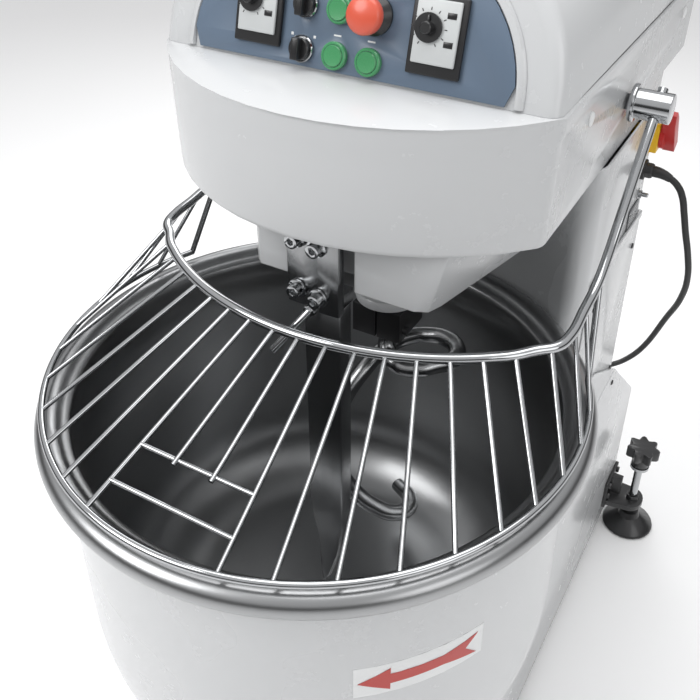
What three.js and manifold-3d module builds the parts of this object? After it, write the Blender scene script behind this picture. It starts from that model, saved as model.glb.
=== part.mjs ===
// Spiral dough mixer: turning bowl, spiral hook, breaker bar, tilting wire guard and control head.
// Millimetres, +Z up, floor at Z = 0. The bowl turns about the Z axis and the operator stands at -Y.
import * as THREE from 'three';
import { mergeVertices } from 'three/addons/utils/BufferGeometryUtils.js';
import Module from 'manifold-3d';

const wasm = await Module();
wasm.setup();

// ---- driving dimensions -------------------------------------------------------------------
const GAP = 0.3;              // clearance left between touching pieces
const RIM_Z = 810;            // height of the rim roll's centre above the floor
const RIM_R = 325;            // radius of the rim roll's centre circle
const ROLL = 17;              // radius of the rim roll itself
const BOWL_R = 296;           // inside radius of the bowl
const BOWL_DEEP = 412;        // depth of the bowl below the rim centre
const BOWL_CORNER = 110;      // inside corner radius between wall and floor
const DRUM_R = 316;           // outside radius of the fixed drum round the bowl
const SIDE = 247.5;           // half width of the column and head
const BASE_SIDE = 257;        // half width of the base
const BASE_REAR = 795;        // how far back the base reaches
const BASE_LOW = 15;          // ground clearance of the base
const BASE_TOP = 545;         // height of the tall rear part of the base
const DECK_Z = 352;           // height of the base's deck under the drum
const COL_FRONT_R = 348;      // radius of the column's hollow front, round the bowl
const COL_REAR = 548;         // rear face of the column
const HEAD_LOW = 1044;        // lower edge of the head's skirt
const LEDGE_Z = 1190;         // height of the ledge in front of the control panel
const HEAD_REAR = 680;        // rear of the head
const HOOD_HIGH = 184;        // height of the hood above the ledge
const HOOD_TILT = 0.2618;     // backward lean of the hood's front, 15 degrees
const PANEL_Y = 68;           // where the control panel meets the ledge
const GEAR_LOW = 960;         // underside of the gear housing
const HOOK = [20, 148];       // axis of the spiral hook
const GUARD_PIVOT = [346, RIM_Z + 300];   // y and z of the guard's pivot
const ARM_X = 281;            // distance of the guard arms from the middle
const ARC_R = 372;            // radius of the guard's upper bar
const ARC_Y = 309;            // centre of that radius
const ARC_Z = RIM_Z + 119;
const RING_R = 328;           // radius of the guard's lower ring
const RING_Z = RIM_Z + 29;
const WIRES = 22;             // upright wires in the guard
const BELT_Z = 118;           // height of the bowl's belt
const HEAD_BELT_Z = 1128;     // height of the spiral's belt

const finish = {
  paint: [0xe9ebea, 0.28, 0.05], panel: [0x6c7d96, 0.4, 0.1], black: [0x151515, 0.45, 0.05],
  steel: [0xb9bbbb, 0.3, 1.0], chrome: [0xd4d5d6, 0.12, 1.0], dark: [0x2a2b2d, 0.6, 0.2],
  green: [0x3e9a63, 0.35, 0.0], red: [0xd8553f, 0.35, 0.0], yellow: [0xe6b400, 0.4, 0.0],
  rubber: [0x111111, 0.8, 0.0], silver: [0xd9dbda, 0.45, 0.2], iron: [0x4c4f52, 0.6, 0.7],
  motor: [0x5d6a72, 0.5, 0.4],
};
const machine = new THREE.Group();
machine.name = 'spiral_dough_mixer';

// ---- helpers ------------------------------------------------------------------------------
const V = (x, y, z) => new THREE.Vector3(x, y, z);
const turn = (g, x, y, z) => g.applyMatrix4(new THREE.Matrix4().makeRotationFromEuler(
  new THREE.Euler(x, y, z)));
const moved = (g, x, y, z) => g.clone().translate(x, y, z);

function solid(geometry) {
  const g = geometry.clone();
  for (const name of Object.keys(g.attributes)) if (name !== 'position') g.deleteAttribute(name);
  const m = mergeVertices(g, 1e-3);
  return new wasm.Manifold(new wasm.Mesh({
    numProp: 3, vertProperties: Float32Array.from(m.attributes.position.array),
    triVerts: Uint32Array.from(m.index.array),
  }));
}
function shape3(manifold) {
  const m = manifold.getMesh();
  const g = new THREE.BufferGeometry();
  g.setAttribute('position', new THREE.BufferAttribute(Float32Array.from(m.vertProperties), 3));
  g.setIndex(Array.from(m.triVerts));
  const flat = g.toNonIndexed();
  flat.computeVertexNormals();
  return flat;
}
function cut(body, ...tools) {
  let m = solid(body);
  for (const t of tools) m = m.subtract(solid(t));
  return shape3(m);
}
function join(...bodies) {
  let m = solid(bodies[0]);
  for (const b of bodies.slice(1)) m = m.add(solid(b));
  return shape3(m);
}
function add(name, geometry, look, parent = machine) {
  const [color, roughness, metalness] = finish[look];
  const mesh = new THREE.Mesh(geometry, new THREE.MeshStandardMaterial({ color, roughness, metalness }));
  mesh.name = name;
  parent.add(mesh);
  return mesh;
}
const box = (x0, x1, y0, y1, z0, z1) =>
  new THREE.BoxGeometry(x1 - x0, y1 - y0, z1 - z0).translate((x0 + x1) / 2, (y0 + y1) / 2, (z0 + z1) / 2);
// upright cylinder standing on z0
const post = (r, z0, z1, x = 0, y = 0, n = 20, top = r) =>
  turn(new THREE.CylinderGeometry(top, r, z1 - z0, n), Math.PI / 2, 0, 0).translate(x, y, (z0 + z1) / 2);
// cylinder lying along X or along Y
const barX = (r, x0, x1, y, z, n = 16) =>
  turn(new THREE.CylinderGeometry(r, r, x1 - x0, n), 0, 0, Math.PI / 2).translate((x0 + x1) / 2, y, z);
const barY = (r, y0, y1, x, z, n = 16, front = r) =>
  new THREE.CylinderGeometry(r, front, y1 - y0, n).translate(x, (y0 + y1) / 2, z);
// profile of [radius, height] pairs turned about Z
const lathe = (profile, n = 64) =>
  turn(new THREE.LatheGeometry(profile.map(([r, z]) => new THREE.Vector2(r, z)), n), Math.PI / 2, 0, 0);
// flat outline raised along Z
const slab = (points, z0, z1) =>
  new THREE.ExtrudeGeometry(new THREE.Shape(points.map(([x, y]) => new THREE.Vector2(x, y))),
    { depth: z1 - z0, bevelEnabled: false, curveSegments: 8 }).translate(0, 0, z0);
// side view outline of [y, z] pairs, widened along X
const side = (points, x0, x1) => {
  const g = new THREE.ExtrudeGeometry(new THREE.Shape(points.map(([y, z]) => new THREE.Vector2(y, z))),
    { depth: x1 - x0, bevelEnabled: false });
  g.applyMatrix4(new THREE.Matrix4().set(0, 0, 1, x0, 1, 0, 0, 0, 0, 1, 0, 0, 0, 0, 0, 1));
  return g;
};
function ring(r, n, from = 0, to = Math.PI * 2, cx = 0, cy = 0) {
  const out = [];
  for (let i = 0; i <= n; i++) {
    const a = from + (to - from) * i / n;
    out.push([cx + r * Math.cos(a), cy + r * Math.sin(a)]);
  }
  return out;
}
// round bar along a path
function tube(path, r, sides = 10, steps = 1) {
  const s = new THREE.Shape(ring(r, sides).slice(0, sides).map(([x, y]) => new THREE.Vector2(x, y)));
  return new THREE.ExtrudeGeometry(s, { steps, bevelEnabled: false, extrudePath: path });
}
const straight = (a, b, r, sides = 8) => tube(new THREE.LineCurve3(a, b), r, sides, 1);
const smooth = (points, r, sides, steps) =>
  tube(new THREE.CatmullRomCurve3(points, false, 'centripetal'), r, sides, steps);
// body through sections that all have the same number of points, closed at both ends
function loft(sections) {
  const n = sections[0].length;
  const pos = sections.flat().flat();
  const index = [];
  for (let s = 0; s + 1 < sections.length; s++) for (let i = 0; i < n; i++) {
    const j = (i + 1) % n, a = s * n + i, b = s * n + j, c = a + n, d = b + n;
    index.push(a, b, d, a, d, c);
  }
  const flat = (section, k) => section.map((p) => new THREE.Vector2(p[0], p[k]));
  const area = (section, k) => THREE.ShapeUtils.area(flat(section, k));
  const k = Math.abs(area(sections[0], 1)) > Math.abs(area(sections[0], 2)) ? 1 : 2;
  const end = (section, base, same) => {
    const pts = flat(section, k);
    for (const t of THREE.ShapeUtils.triangulateShape(pts, [])) {
      const along = THREE.ShapeUtils.area(t.map((i) => pts[i])) * THREE.ShapeUtils.area(pts) > 0;
      index.push(...(along === same ? t : t.toReversed()).map((i) => base + i));
    }
  };
  end(sections[0], 0, false);
  end(sections.at(-1), (sections.length - 1) * n, true);
  const at = (i) => new THREE.Vector3().fromArray(pos, i * 3);
  let volume = 0;
  for (let i = 0; i < index.length; i += 3) {
    volume += at(index[i]).dot(at(index[i + 1]).cross(at(index[i + 2])));
  }
  if (volume < 0) index.reverse();
  const g = new THREE.BufferGeometry();
  g.setAttribute('position', new THREE.BufferAttribute(Float32Array.from(pos), 3));
  g.setIndex(index);
  return g;
}
// plan outline with a round front, straight sides and a square back; runs anticlockwise
function roundFront(half, r, cy, back, corner = 22, n = 14) {
  const pts = [];
  const a = Math.asin((half - corner) / (r - corner));
  const ky = cy - (r - corner) * Math.cos(a);
  const kx = half - corner;
  for (let i = 0; i <= n; i++) {
    const t = -a + 2 * a * i / n;
    pts.push([r * Math.sin(t), cy - r * Math.cos(t)]);
  }
  for (let i = 1; i <= 5; i++) {
    const t = a + (Math.PI / 2 - a) * i / 5;
    pts.push([kx + corner * Math.sin(t), ky - corner * Math.cos(t)]);
  }
  pts.push([half, back], [-half, back]);
  for (let i = 5; i >= 1; i--) {
    const t = a + (Math.PI / 2 - a) * i / 5;
    pts.push([-kx - corner * Math.sin(t), ky - corner * Math.cos(t)]);
  }
  return pts;
}

// ---- base ---------------------------------------------------------------------------------
const baseSide = (t) => [[-300, BASE_LOW - (t ? 40 : 0)], [BASE_REAR - 38 - t, BASE_LOW - (t ? 40 : 0)],
  [BASE_REAR - t, 110], [BASE_REAR - t, 322 - t * 0.4], [BASE_REAR - 7 - t, 334 - t * 0.8],
  [COL_REAR + 8 - t * 0.4, BASE_TOP - t],
  [232 + t, BASE_TOP - t], [232 + t, DECK_Z - t], [-300, DECK_Z - t]];
function baseBody(t) {
  const plan = roundFront(BASE_SIDE - t, BASE_SIDE + 13 - t, 13, BASE_REAR + 60, 30, 28);
  let m = solid(slab(plan, -60, BASE_TOP + 40)).intersect(solid(side(baseSide(t), -400, 400)));
  return m;
}
{
  const scoop = (t) => solid(post(COL_FRONT_R + t, DECK_Z - t, 900, 0, 0, 72));
  let base = baseBody(0).subtract(scoop(0)).subtract(baseBody(4).subtract(scoop(4)));
  base = base.subtract(solid(post(96, DECK_Z - 20, DECK_Z + 20)));
  base = base.subtract(solid(box(-200, 200, 392, 530, BASE_TOP - 20, BASE_TOP + 20)));
  // raised cheeks beside the column: their top edge falls towards the back and their face leans in
  const cheek = [[COL_REAR + 8, 500], [COL_REAR + 8, BASE_TOP], [412, 633], [330, 650], [330, 500]];
  for (const s of [-1, 1]) {
    const inner = s * 250.4, outer = s * BASE_SIDE, far = s * (BASE_SIDE + 20);
    const plate = side(cheek, Math.min(inner, outer), Math.max(inner, outer));
    const trim = slab([[far, 528], [far, 680], [s * 251, 680], [outer, 528]], -600,
      -300).rotateX(Math.PI / 2);
    base = base.add(solid(plate).subtract(solid(trim)));
  }
  for (const s of [-1, 1]) base = base.subtract(solid(box(s * 205 - 24, s * 205 + 24, -150, -20, 0, 40)));
  add('base_housing', shape3(base), 'paint');
}
{
  const plate = slab(roundFront(BASE_SIDE - 5, BASE_SIDE + 8, 13, BASE_REAR - 44, 30), BASE_LOW + 1,
    BASE_LOW + 6);
  const lugs = [-1, 1].map((e) => box(e * 174 - 5, e * 174 + 5, -112, -58, BASE_LOW + 2, 64));
  add('base_floor_plate', cut(join(plate, ...lugs), barX(9.5, -300, 300, -85, 46, 16),
    ...[-1, 1].map((e) => box(e * 205 - 24, e * 205 + 24, -150, -20, 0, 40))), 'dark');
}
add('front_axle', barX(9, -222, 222, -85, 46), 'steel');
for (const [s, tag] of [[-1, 'left'], [1, 'right']]) {
  const wheel = lathe([[9.4, -14], [15, -14], [15, -11], [43, -11], [46, -8], [46, 8], [43, 11], [15, 11],
    [15, 14], [9.4, 14], [9.4, -14]], 20);
  add(`front_wheel_${tag}`, turn(wheel, 0, Math.PI / 2, 0).translate(s * 205, -85, 46), 'rubber');
}

// ---- drum round the bowl ------------------------------------------------------------------
{
  const outer = [[150, DECK_Z + 0.4], [215, DECK_Z + 0.4], [236, 360], [272, 392], [296, 430], [310, 478],
    [DRUM_R, 540], [DRUM_R, RIM_Z - 30]];
  const inner = outer.map(([r, z]) => [r - 4, z]).reverse();
  inner[inner.length - 1] = [150, DECK_Z + 5];
  inner[inner.length - 2] = [213, DECK_Z + 5];
  inner[inner.length - 3] = [233, DECK_Z + 13];
  add('bowl_drum', lathe([...outer, ...inner, outer[0]], 40), 'paint');
}

// ---- bowl and its drive -------------------------------------------------------------------
{
  const zf = RIM_Z - BOWL_DEEP;
  const p = [[0, zf], [BOWL_R - BOWL_CORNER, zf]];
  for (let i = 1; i <= 5; i++) {
    const a = Math.PI / 2 * i / 5;
    p.push([BOWL_R - BOWL_CORNER + BOWL_CORNER * Math.sin(a), zf + BOWL_CORNER * (1 - Math.cos(a))]);
  }
  p.push([BOWL_R, RIM_Z - 22], [BOWL_R + 2, RIM_Z - 8], [BOWL_R + 5, RIM_Z + 2], [BOWL_R + 12, RIM_Z + 6]);
  for (let i = 0; i <= 9; i++) {
    const a = Math.PI * 0.86 - Math.PI * 1.72 * i / 9;
    p.push([RIM_R + ROLL * Math.cos(a), RIM_Z + ROLL * Math.sin(a)]);
  }
  p.push([BOWL_R + 4, RIM_Z - 24]);
  for (let i = 5; i >= 1; i--) {
    const a = Math.PI / 2 * i / 5, r = BOWL_CORNER + 3;
    p.push([BOWL_R - BOWL_CORNER + r * Math.sin(a), zf + BOWL_CORNER - r * Math.cos(a)]);
  }
  p.push([BOWL_R - BOWL_CORNER, zf - 3], [0, zf - 3]);
  add('bowl', lathe(p.reverse(), 48), 'steel');
}
const BOWL_UNDER = RIM_Z - BOWL_DEEP - 3;
add('bowl_shaft', join(post(90, BOWL_UNDER - 12.3, BOWL_UNDER - GAP, 0, 0, 20),
  post(30, 80, BOWL_UNDER - 8)), 'iron');
add('bowl_bearing_block', cut(join(post(68, 190, DECK_Z - 4.5, 0, 0, 20),
  post(92, DECK_Z - 18, DECK_Z - 4.4, 0, 0, 20)),
  post(30.4, 150, DECK_Z + 10, 0, 0, 20)), 'iron');
function pulley(r, shaft, high) {
  const bore = (shaft + GAP) / Math.cos(Math.PI / 22);
  return lathe([[bore, -high / 2], [r, -high / 2], [r, -high / 2 + 4], [r - 7, -high / 2 + 11],
    [r - 7, high / 2 - 11], [r, high / 2 - 4], [r, high / 2], [bore, high / 2], [bore, -high / 2]], 22);
}
function belt(r1, r2, dx, dy, z) {
  const run = Math.hypot(dx, dy), a = Math.atan2(dy, dx), tilt = Math.acos((r1 - r2) / run);
  const loop = (e) => [...ring(r1 + e, 24, a + tilt, a + 2 * Math.PI - tilt),
    ...ring(r2 + e, 14, a - tilt, a + tilt, dx, dy)];
  return cut(slab(loop(8), z - 5, z + 5), slab(loop(1.8), z - 9, z + 9));
}
add('bowl_pulley', moved(pulley(170, 30, 34), 0, 0, BELT_Z), 'iron');
add('bowl_motor', join(post(78, 160, 345, 0, 660, 20), post(62, 345, 360, 0, 660, 20),
  post(14, 88, 164, 0, 660, 20), box(60, 112, 625, 695, 230, 310)), 'motor');
add('bowl_motor_pulley', moved(pulley(45, 14, 34), 0, 660, BELT_Z), 'iron');
add('bowl_belt', belt(163, 38, 0, 660, BELT_Z), 'rubber');

// ---- column -------------------------------------------------------------------------------
function columnPlan(t) {
  const r = COL_FRONT_R + t, half = SIDE - t, pts = [];
  const corner = 20;
  const kx = half - corner, ky = Math.sqrt((r + corner) ** 2 - kx ** 2);
  const a = Math.atan2(kx, ky);
  for (let i = 0; i <= 18; i++) {
    const s = -a + 2 * a * i / 18;
    pts.push([r * Math.sin(s), r * Math.cos(s)]);
  }
  const start = -Math.PI / 2 - a, stop = 0;
  for (let i = 1; i <= 6; i++) {
    const s = start + (stop - start) * i / 6;
    pts.push([kx + corner * Math.cos(s), ky + corner * Math.sin(s)]);
  }
  pts.push([half, COL_REAR - 8 - t], [half - 8, COL_REAR - t], [-half + 8, COL_REAR - t],
    [-half, COL_REAR - 8 - t]);
  for (let i = 6; i >= 1; i--) {
    const s = start + (stop - start) * i / 6;
    pts.push([-kx - corner * Math.cos(s), ky + corner * Math.sin(s)]);
  }
  return pts;
}
{
  const holes = [barX(15.4, 235, 260, 507, 1002), barX(8.4, 235, 260, 500, 952)];
  for (const s of [-1, 1]) holes.push(barX(6, s * 230 - 30, s * 230 + 30, 300, 1000, 16));
  add('column_shell', cut(slab(columnPlan(0), BASE_TOP + GAP, HEAD_LOW - GAP),
    slab(columnPlan(3), 400, 1300),
    holes[0], holes[1]), 'paint');
}
{
  const outer = box(-250, 250, 292, COL_REAR + 4.5, BASE_TOP + GAP, 868);
  const inner = box(-SIDE - GAP, SIDE + GAP, 200, COL_REAR + GAP, 400, 940);
  const slope = side([[280, 866], [280, 920], [600, 920], [600, 859]], -400, 400);
  add('column_rear_cover', cut(outer, inner, slope), 'paint');
}

// ---- head ---------------------------------------------------------------------------------
const skirt = (z, t, inset, front) => roundFront(SIDE - inset - t, 303 - t + front, 248 + front * 2,
  HEAD_REAR - t, 22)
  .map(([x, y]) => [x, y, z]);
{
  const outer = loft([skirt(HEAD_LOW, 0, 6, 8), skirt(HEAD_LOW + 4, 0, 5, 7.6), skirt(1140, 0, 3, 2),
    skirt(1163, 0, 2.4, 1), skirt(1168, 0, 0.6, 0.2), skirt(1184, 0, 0, 0), skirt(1188, 0, 1, -0.4),
    skirt(LEDGE_Z, 0, 4, -2)]);
  const inner = loft([skirt(HEAD_LOW - 20, 4, 6, 8), skirt(1160, 4, 3, 2), skirt(LEDGE_Z - 4, 4, 2, 0)]);
  const hatch = box(-200, 200, 140, 640, LEDGE_Z - 10, LEDGE_Z + 10);
  const back = side([[COL_REAR + 6, 900], [COL_REAR + 6, 1082], [900, 1082], [900, 900]], -400, 400);
  const pins = barX(10.3, -300, 300, GUARD_PIVOT[0], GUARD_PIVOT[1], 16);
  const fill = box(-SIDE + 8, SIDE - 8, COL_REAR + 10, HEAD_REAR - 2, 1082.01, 1086);
  let m = solid(outer).subtract(solid(inner)).subtract(solid(hatch)).subtract(solid(pins));
  m = m.add(solid(fill)).subtract(solid(back));
  add('head_skirt', shape3(m), 'paint');
}
{
  const plan = roundFront(SIDE - 11, 303 - 4, 262, COL_REAR + 4, 22).map(([x, y]) => [x, y]);
  add('head_floor', cut(slab(plan, HEAD_LOW + 3, HEAD_LOW + 7), post(46, 900, 1200, HOOK[0], HOOK[1], 20),
    box(-130, 130, 380, 545, 900, 1200)), 'paint');
}
function arch(half, high, n = 24, e = 2.35) {
  const pts = [];
  for (let i = 0; i <= n; i++) {
    const a = Math.PI * i / n, c = Math.cos(a), s = Math.sin(a);
    pts.push([half * Math.sign(c) * Math.abs(c) ** (2 / e), high * Math.abs(s) ** (2 / e)]);
  }
  pts[0] = [half, 0];
  pts[n] = [-half, 0];
  return pts;
}
function hoodSection(y, inset, lean, t = 0) {
  const low = t ? -12 : GAP;
  const pts = arch(244 - inset - t, HOOD_HIGH - inset - t).map(([x, z]) => [x, Math.max(z, low)]);
  return pts.map(([x, z]) => [x, y + lean * z * Math.tan(HOOD_TILT), LEDGE_Z + z]);
}
{
  const f = PANEL_Y - 6;
  const outer = loft([hoodSection(f, 16, 1), hoodSection(f + 1.5, 9, 1), hoodSection(f + 5, 3.5, 1),
    hoodSection(f + 12, 0, 1), hoodSection(f + 130, 0, 0.5), hoodSection(HEAD_REAR - 120, 0, 0),
    hoodSection(HEAD_REAR - 14, 0, 0), hoodSection(HEAD_REAR - 5, 4, 0), hoodSection(HEAD_REAR, 13, 0)]);
  const inner = loft([hoodSection(f + 4, 18, 1, 4), hoodSection(f + 14, 0, 1, 4),
    hoodSection(f + 130, 0, 0.5, 4),
    hoodSection(HEAD_REAR - 16, 0, 0, 4), hoodSection(HEAD_REAR - 4, 13, 0, 4)]);
  const window = box(-142, 142, 8, 102, -60, 20);
  turn(window, Math.PI / 2 - HOOD_TILT, 0, 0).translate(0, f, LEDGE_Z);
  const m = solid(outer).subtract(solid(inner)).subtract(solid(window));
  add('head_hood', shape3(m), 'paint');
}

// ---- gear housing and mixing tools ----------------------------------------------------------
{
  const plan = [[-89, 12], [-78, 1], [-38, 1], [-38, 34], [50, 34], [50, 1], [126, 1], [141, 8], [148, 26],
    [190, 214], [190, 236], [150, 296], [-89, 328]];
  const grow = (k, z) => plan.map(([x, y]) => [x < 0 && y > 100 ? x - k * 4 : x + (x > 140 ? k * 22 : 0), y,
    z]);
  let m = solid(loft([grow(0, GEAR_LOW), grow(1, HEAD_LOW + 2)]));
  m = m.add(solid(post(42, RIM_Z + 54, GEAR_LOW + 4, HOOK[0], HOOK[1], 20)));
  m = m.subtract(solid(loft([plan.map(([x, y]) => [x * 0.9, 44 + y * 0.72, GEAR_LOW + 8]),
    plan.map(([x, y]) => [x * 0.9, 44 + y * 0.72, HEAD_LOW + 30])])));
  m = m.subtract(solid(post(26.4, RIM_Z, HEAD_LOW, HOOK[0], HOOK[1], 20)));
  add('gear_housing', shape3(m), 'paint');
}
add('spiral_shaft', join(post(26, RIM_Z + 51, HEAD_BELT_Z + 30, HOOK[0], HOOK[1]),
  post(38, HEAD_LOW + 12, HEAD_LOW + 24, HOOK[0], HOOK[1])), 'steel');
add('spiral_pulley', moved(pulley(125, 26, 36), HOOK[0], HOOK[1], HEAD_BELT_Z), 'iron');
const MOTOR = [-20, 448];
add('spiral_motor', join(post(88, 700, 1010, ...MOTOR, 20), post(70, 690, 700.5, ...MOTOR, 20),
  post(16, 1009, HEAD_BELT_Z + 26, ...MOTOR, 20), box(-154, -96, 412, 482, 800, 890)), 'motor');
add('spiral_motor_pulley', moved(pulley(48, 16, 36), ...MOTOR, HEAD_BELT_Z), 'iron');
add('spiral_belt', moved(belt(118, 41, MOTOR[0] - HOOK[0], MOTOR[1] - HOOK[1], 0), ...HOOK, HEAD_BELT_Z), 'rubber');
{
  const [hx, hy] = HOOK, top = RIM_Z + 50;
  const block = cut(box(hx - 35, hx + 35, hy - 35, hy + 35, RIM_Z + 5, top),
    box(hx - 1.2, hx + 1.2, hy - 40, hy - 8, RIM_Z, top + 5),
    post(15.4, RIM_Z, RIM_Z + 34, hx, hy, 24));
  const screw = barX(6, hx + 30, hx + 41, hy - 22, RIM_Z + 20, 16);
  add('spiral_hub', join(block, screw), 'black');
  const coil = [[20, 148, 28], [20, 148, 0], [20, 148, -18], [24, 140, -34], [46, 128, -42], [74, 138, -45],
    [89, 153, -44], [104, 176, -47],
    [100, 207, -51], [75, 231, -56], [41, 236, -64], [12, 225, -72], [-10, 202, -84], [-27, 158, -108],
    [-40, 125, -145], [-48, 110, -190], [-38, 102, -240], [-9, 104, -288], [25, 112, -314], [48, 125, -327],
    [61, 149, -334], [52, 175, -339], [21, 195, -343]].map(([x, y, z]) => V(x, y, RIM_Z + z));
  add('spiral_hook', smooth(coil, 12.5, 8, 56), 'steel');
}
{
  const blade = (z, w0, w1, d, yaw, x = 7, y = 14) => {
    const c = Math.cos(yaw), s = Math.sin(yaw);
    return [[w0, -d], [w1, -d], [w1, d], [w0, d]].map(([a, b]) => [x + a * c - b * s, y + a * s + b * c, z]);
  };
  const b = [blade(RIM_Z - 398, -27, -20, 2.5, -0.75, 8, 2), blade(RIM_Z - 360, -27, 2, 3, -0.6, 9, 4),
    blade(RIM_Z - 310, -25, 18, 5, -0.35), blade(RIM_Z - 262, -25, 25, 9, -0.12),
      blade(RIM_Z - 225, -25, 25, 13, 0),
    blade(RIM_Z + 118, -25, 25, 13.5, 0)];
  add('breaker_bar', loft(b), 'steel');
}
add('breaker_bracket', cut(join(box(-34, 38, -7, 0.2, 928, HEAD_LOW - 2), box(-20, 34, -0.2, 29, 929, 948),
  box(10, 38, -13, -6, 928, HEAD_LOW - 2)), box(-60, 60, -20, 60, 900, 927.9)), 'steel');
for (const [i, [x, z]] of [[-20, 1018], [12, 1018], [-20, 950], [12, 950]].entries()) {
  const y = x > 0 ? -13.3 : -7.3;
  add(`bracket_bolt_${i + 1}`, cut(join(barY(12, y - 3, y, x, z, 16), barY(8.5, y - 13, y - 2.5, x, z, 16)),
    barY(4.2, y - 14, y - 7, x, z, 6)), 'chrome');
}
{
  const root = V(-1, -12, RIM_Z + 117), tip = V(-30, -52, RIM_Z + 74);
  add('deflector_pin', join(straight(root, tip, 4.6, 12), barY(7.5, -16, -7.4, -1, RIM_Z + 117, 14)),
    'chrome');
}

// ---- guard --------------------------------------------------------------------------------
const armPath = (s) => {
  const pts = [[256, 43, 119], [275, 62, 119.5], [ARM_X, 84, 121], [ARM_X, 132, 126], [ARM_X, 178, 136],
    [ARM_X, 205, 154], [ARM_X, 250, 200], [ARM_X, 346, 300], [ARM_X, 363, 317.5]];
  return pts.map(([x, y, z]) => V(s * x, y, RIM_Z + z));
};
const arcPoint = (deg) => {
  const a = THREE.MathUtils.degToRad(deg);
  return V(ARC_R * Math.sin(a), ARC_Y - ARC_R * Math.cos(a), ARC_Z);
};
const ringPoint = (deg) => {
  const a = THREE.MathUtils.degToRad(deg);
  return V(RING_R * Math.sin(a), -RING_R * Math.cos(a), RING_Z);
};
{
  const bars = [];
  const arcEnd = 43.5;
  const arc = [];
  for (let i = 0; i <= 26; i++) arc.push(arcPoint(-arcEnd + 2 * arcEnd * i / 26));
  bars.push(smooth([...armPath(-1).reverse(), ...arc.slice(1, -1), ...armPath(1)], 6.5, 7, 64));
  const low = [];
  for (let i = 0; i <= 48; i++) low.push(ringPoint(-114.2 + 228.4 * i / 48));
  bars.push(smooth(low, 4.2, 6, 44));
  // places of the wires, from the middle outwards: [angle on the upper bar, angle on the lower ring]
  const places = [[2.5, 5.2], [7.8, 14.6], [13, 24.1], [18.2, 34.6], [23.5, 45.1], [29, 55.3], [34.5, 65.1],
    [40.1, 74.2], [45.8, 83.8]];
  const armWires = [[[ARM_X, 101, 122], 93.5], [[ARM_X, 140, 127], 103.8], [[ARM_X, 190, 142], 114]];
  const top = 0.69, bottom = 0.863;    // how far down the feed opening's two bars lie
  for (const s of [-1, 1]) {
    places.forEach(([a, r], k) => {
      const from = k === 8 ? V(s * 270, 55, RIM_Z + 119) : arcPoint(s * a);
      const to = ringPoint(s * r);
      if (s < 0 && k === 0 || s > 0 && k === 0) {
        to.lerpVectors(from, ringPoint(s * 4.9), top);
      }
      bars.push(straight(from, to, 2.9, 6));
    });
    for (const [p, r] of armWires) bars.push(straight(V(s * p[0], p[1], RIM_Z + p[2]), ringPoint(s * r),
      p[1] > 150 ? 4.2 : 2.9, 6));
  }
  const at = (s, k) => new THREE.Vector3().lerpVectors(arcPoint(s * 7.8), ringPoint(s * 14.6), k);
  bars.push(straight(at(-1, top), at(1, top), 2.9, 6), straight(at(-1, bottom), at(1, bottom), 2.9, 6));
  let m = solid(bars[0]);
  for (const b of bars.slice(1)) m = m.add(solid(b));
  add('guard_grille', shape3(m), 'chrome');
}
for (const [s, tag] of [[-1, 'left'], [1, 'right']]) {
  const [py, pz] = GUARD_PIVOT;
  const flat = (a, b) => [Math.min(s * a, s * b), Math.max(s * a, s * b)];
  const shell = join(barX(19, ...flat(255, 299), py, pz, 20), barX(24, ...flat(249.5, 256), py, pz, 20),
    barX(10, ...flat(236, 250), py, pz, 14));
  const path = armPath(s).slice(-3);
  const dir = path[2].clone().sub(path[0]).normalize();
  const hole = straight(path[1].clone().addScaledVector(dir, -60), path[1].clone().addScaledVector(dir, 60),
    6.9, 16);
  add(`guard_boss_${tag}`, cut(shell, hole), 'chrome');
}

// ---- control panel ------------------------------------------------------------------------
// everything on the panel is built flat (x across, y up the panel, z out of it), then leaned back
const face = new THREE.Group();
face.position.set(0, PANEL_Y - 6 - GAP, LEDGE_Z + 1.5);
face.rotation.x = Math.PI / 2 - HOOD_TILT;
machine.add(face);
const knobRing = (r, r2, z0, z1, n = 18) => lathe([[r2, z0], [r, z0], [r, z1 - 1.5], [r - 1.5, z1],
  [r2, z1], [r2, z0]], n);
const layout = {
  selectors: [['direction', -50, 20], ['speed', -50, 67]],
  buttons: [['fast', -8, 67], ['slow', -8, 19], ['jog', 33, 19]],
  stop: [33, 67], timers: [['fast', -107, 57], ['slow', 107, 57]],
};
{
  const edge = arch(196, 158, 26, 2.2).map(([x, y]) => [x, y]);
  const outline = [[-196 + 9, 1.5], [187, 1.5], ...edge.filter(([, y]) => y > 9)];
  let m = solid(slab(outline, 0, 3.2));
  for (const [, x, y] of layout.selectors) m = m.subtract(solid(post(11.6, -5, 10, x, y)));
  for (const [, x, y] of layout.buttons) m = m.subtract(solid(post(12.4, -5, 10, x, y)));
  m = m.subtract(solid(post(11.3, -5, 10, ...layout.stop)));
  for (const [, x, y] of layout.timers) m = m.subtract(solid(box(x - 23, x + 23, y - 32, y + 32, -5, 10)));
  for (const [, x, y] of layout.buttons) m = m.add(solid(moved(knobRing(14.8, 11.9, 3, 9), x, y, 0)));
  add('control_panel', shape3(m), 'panel', face);
}
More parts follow.
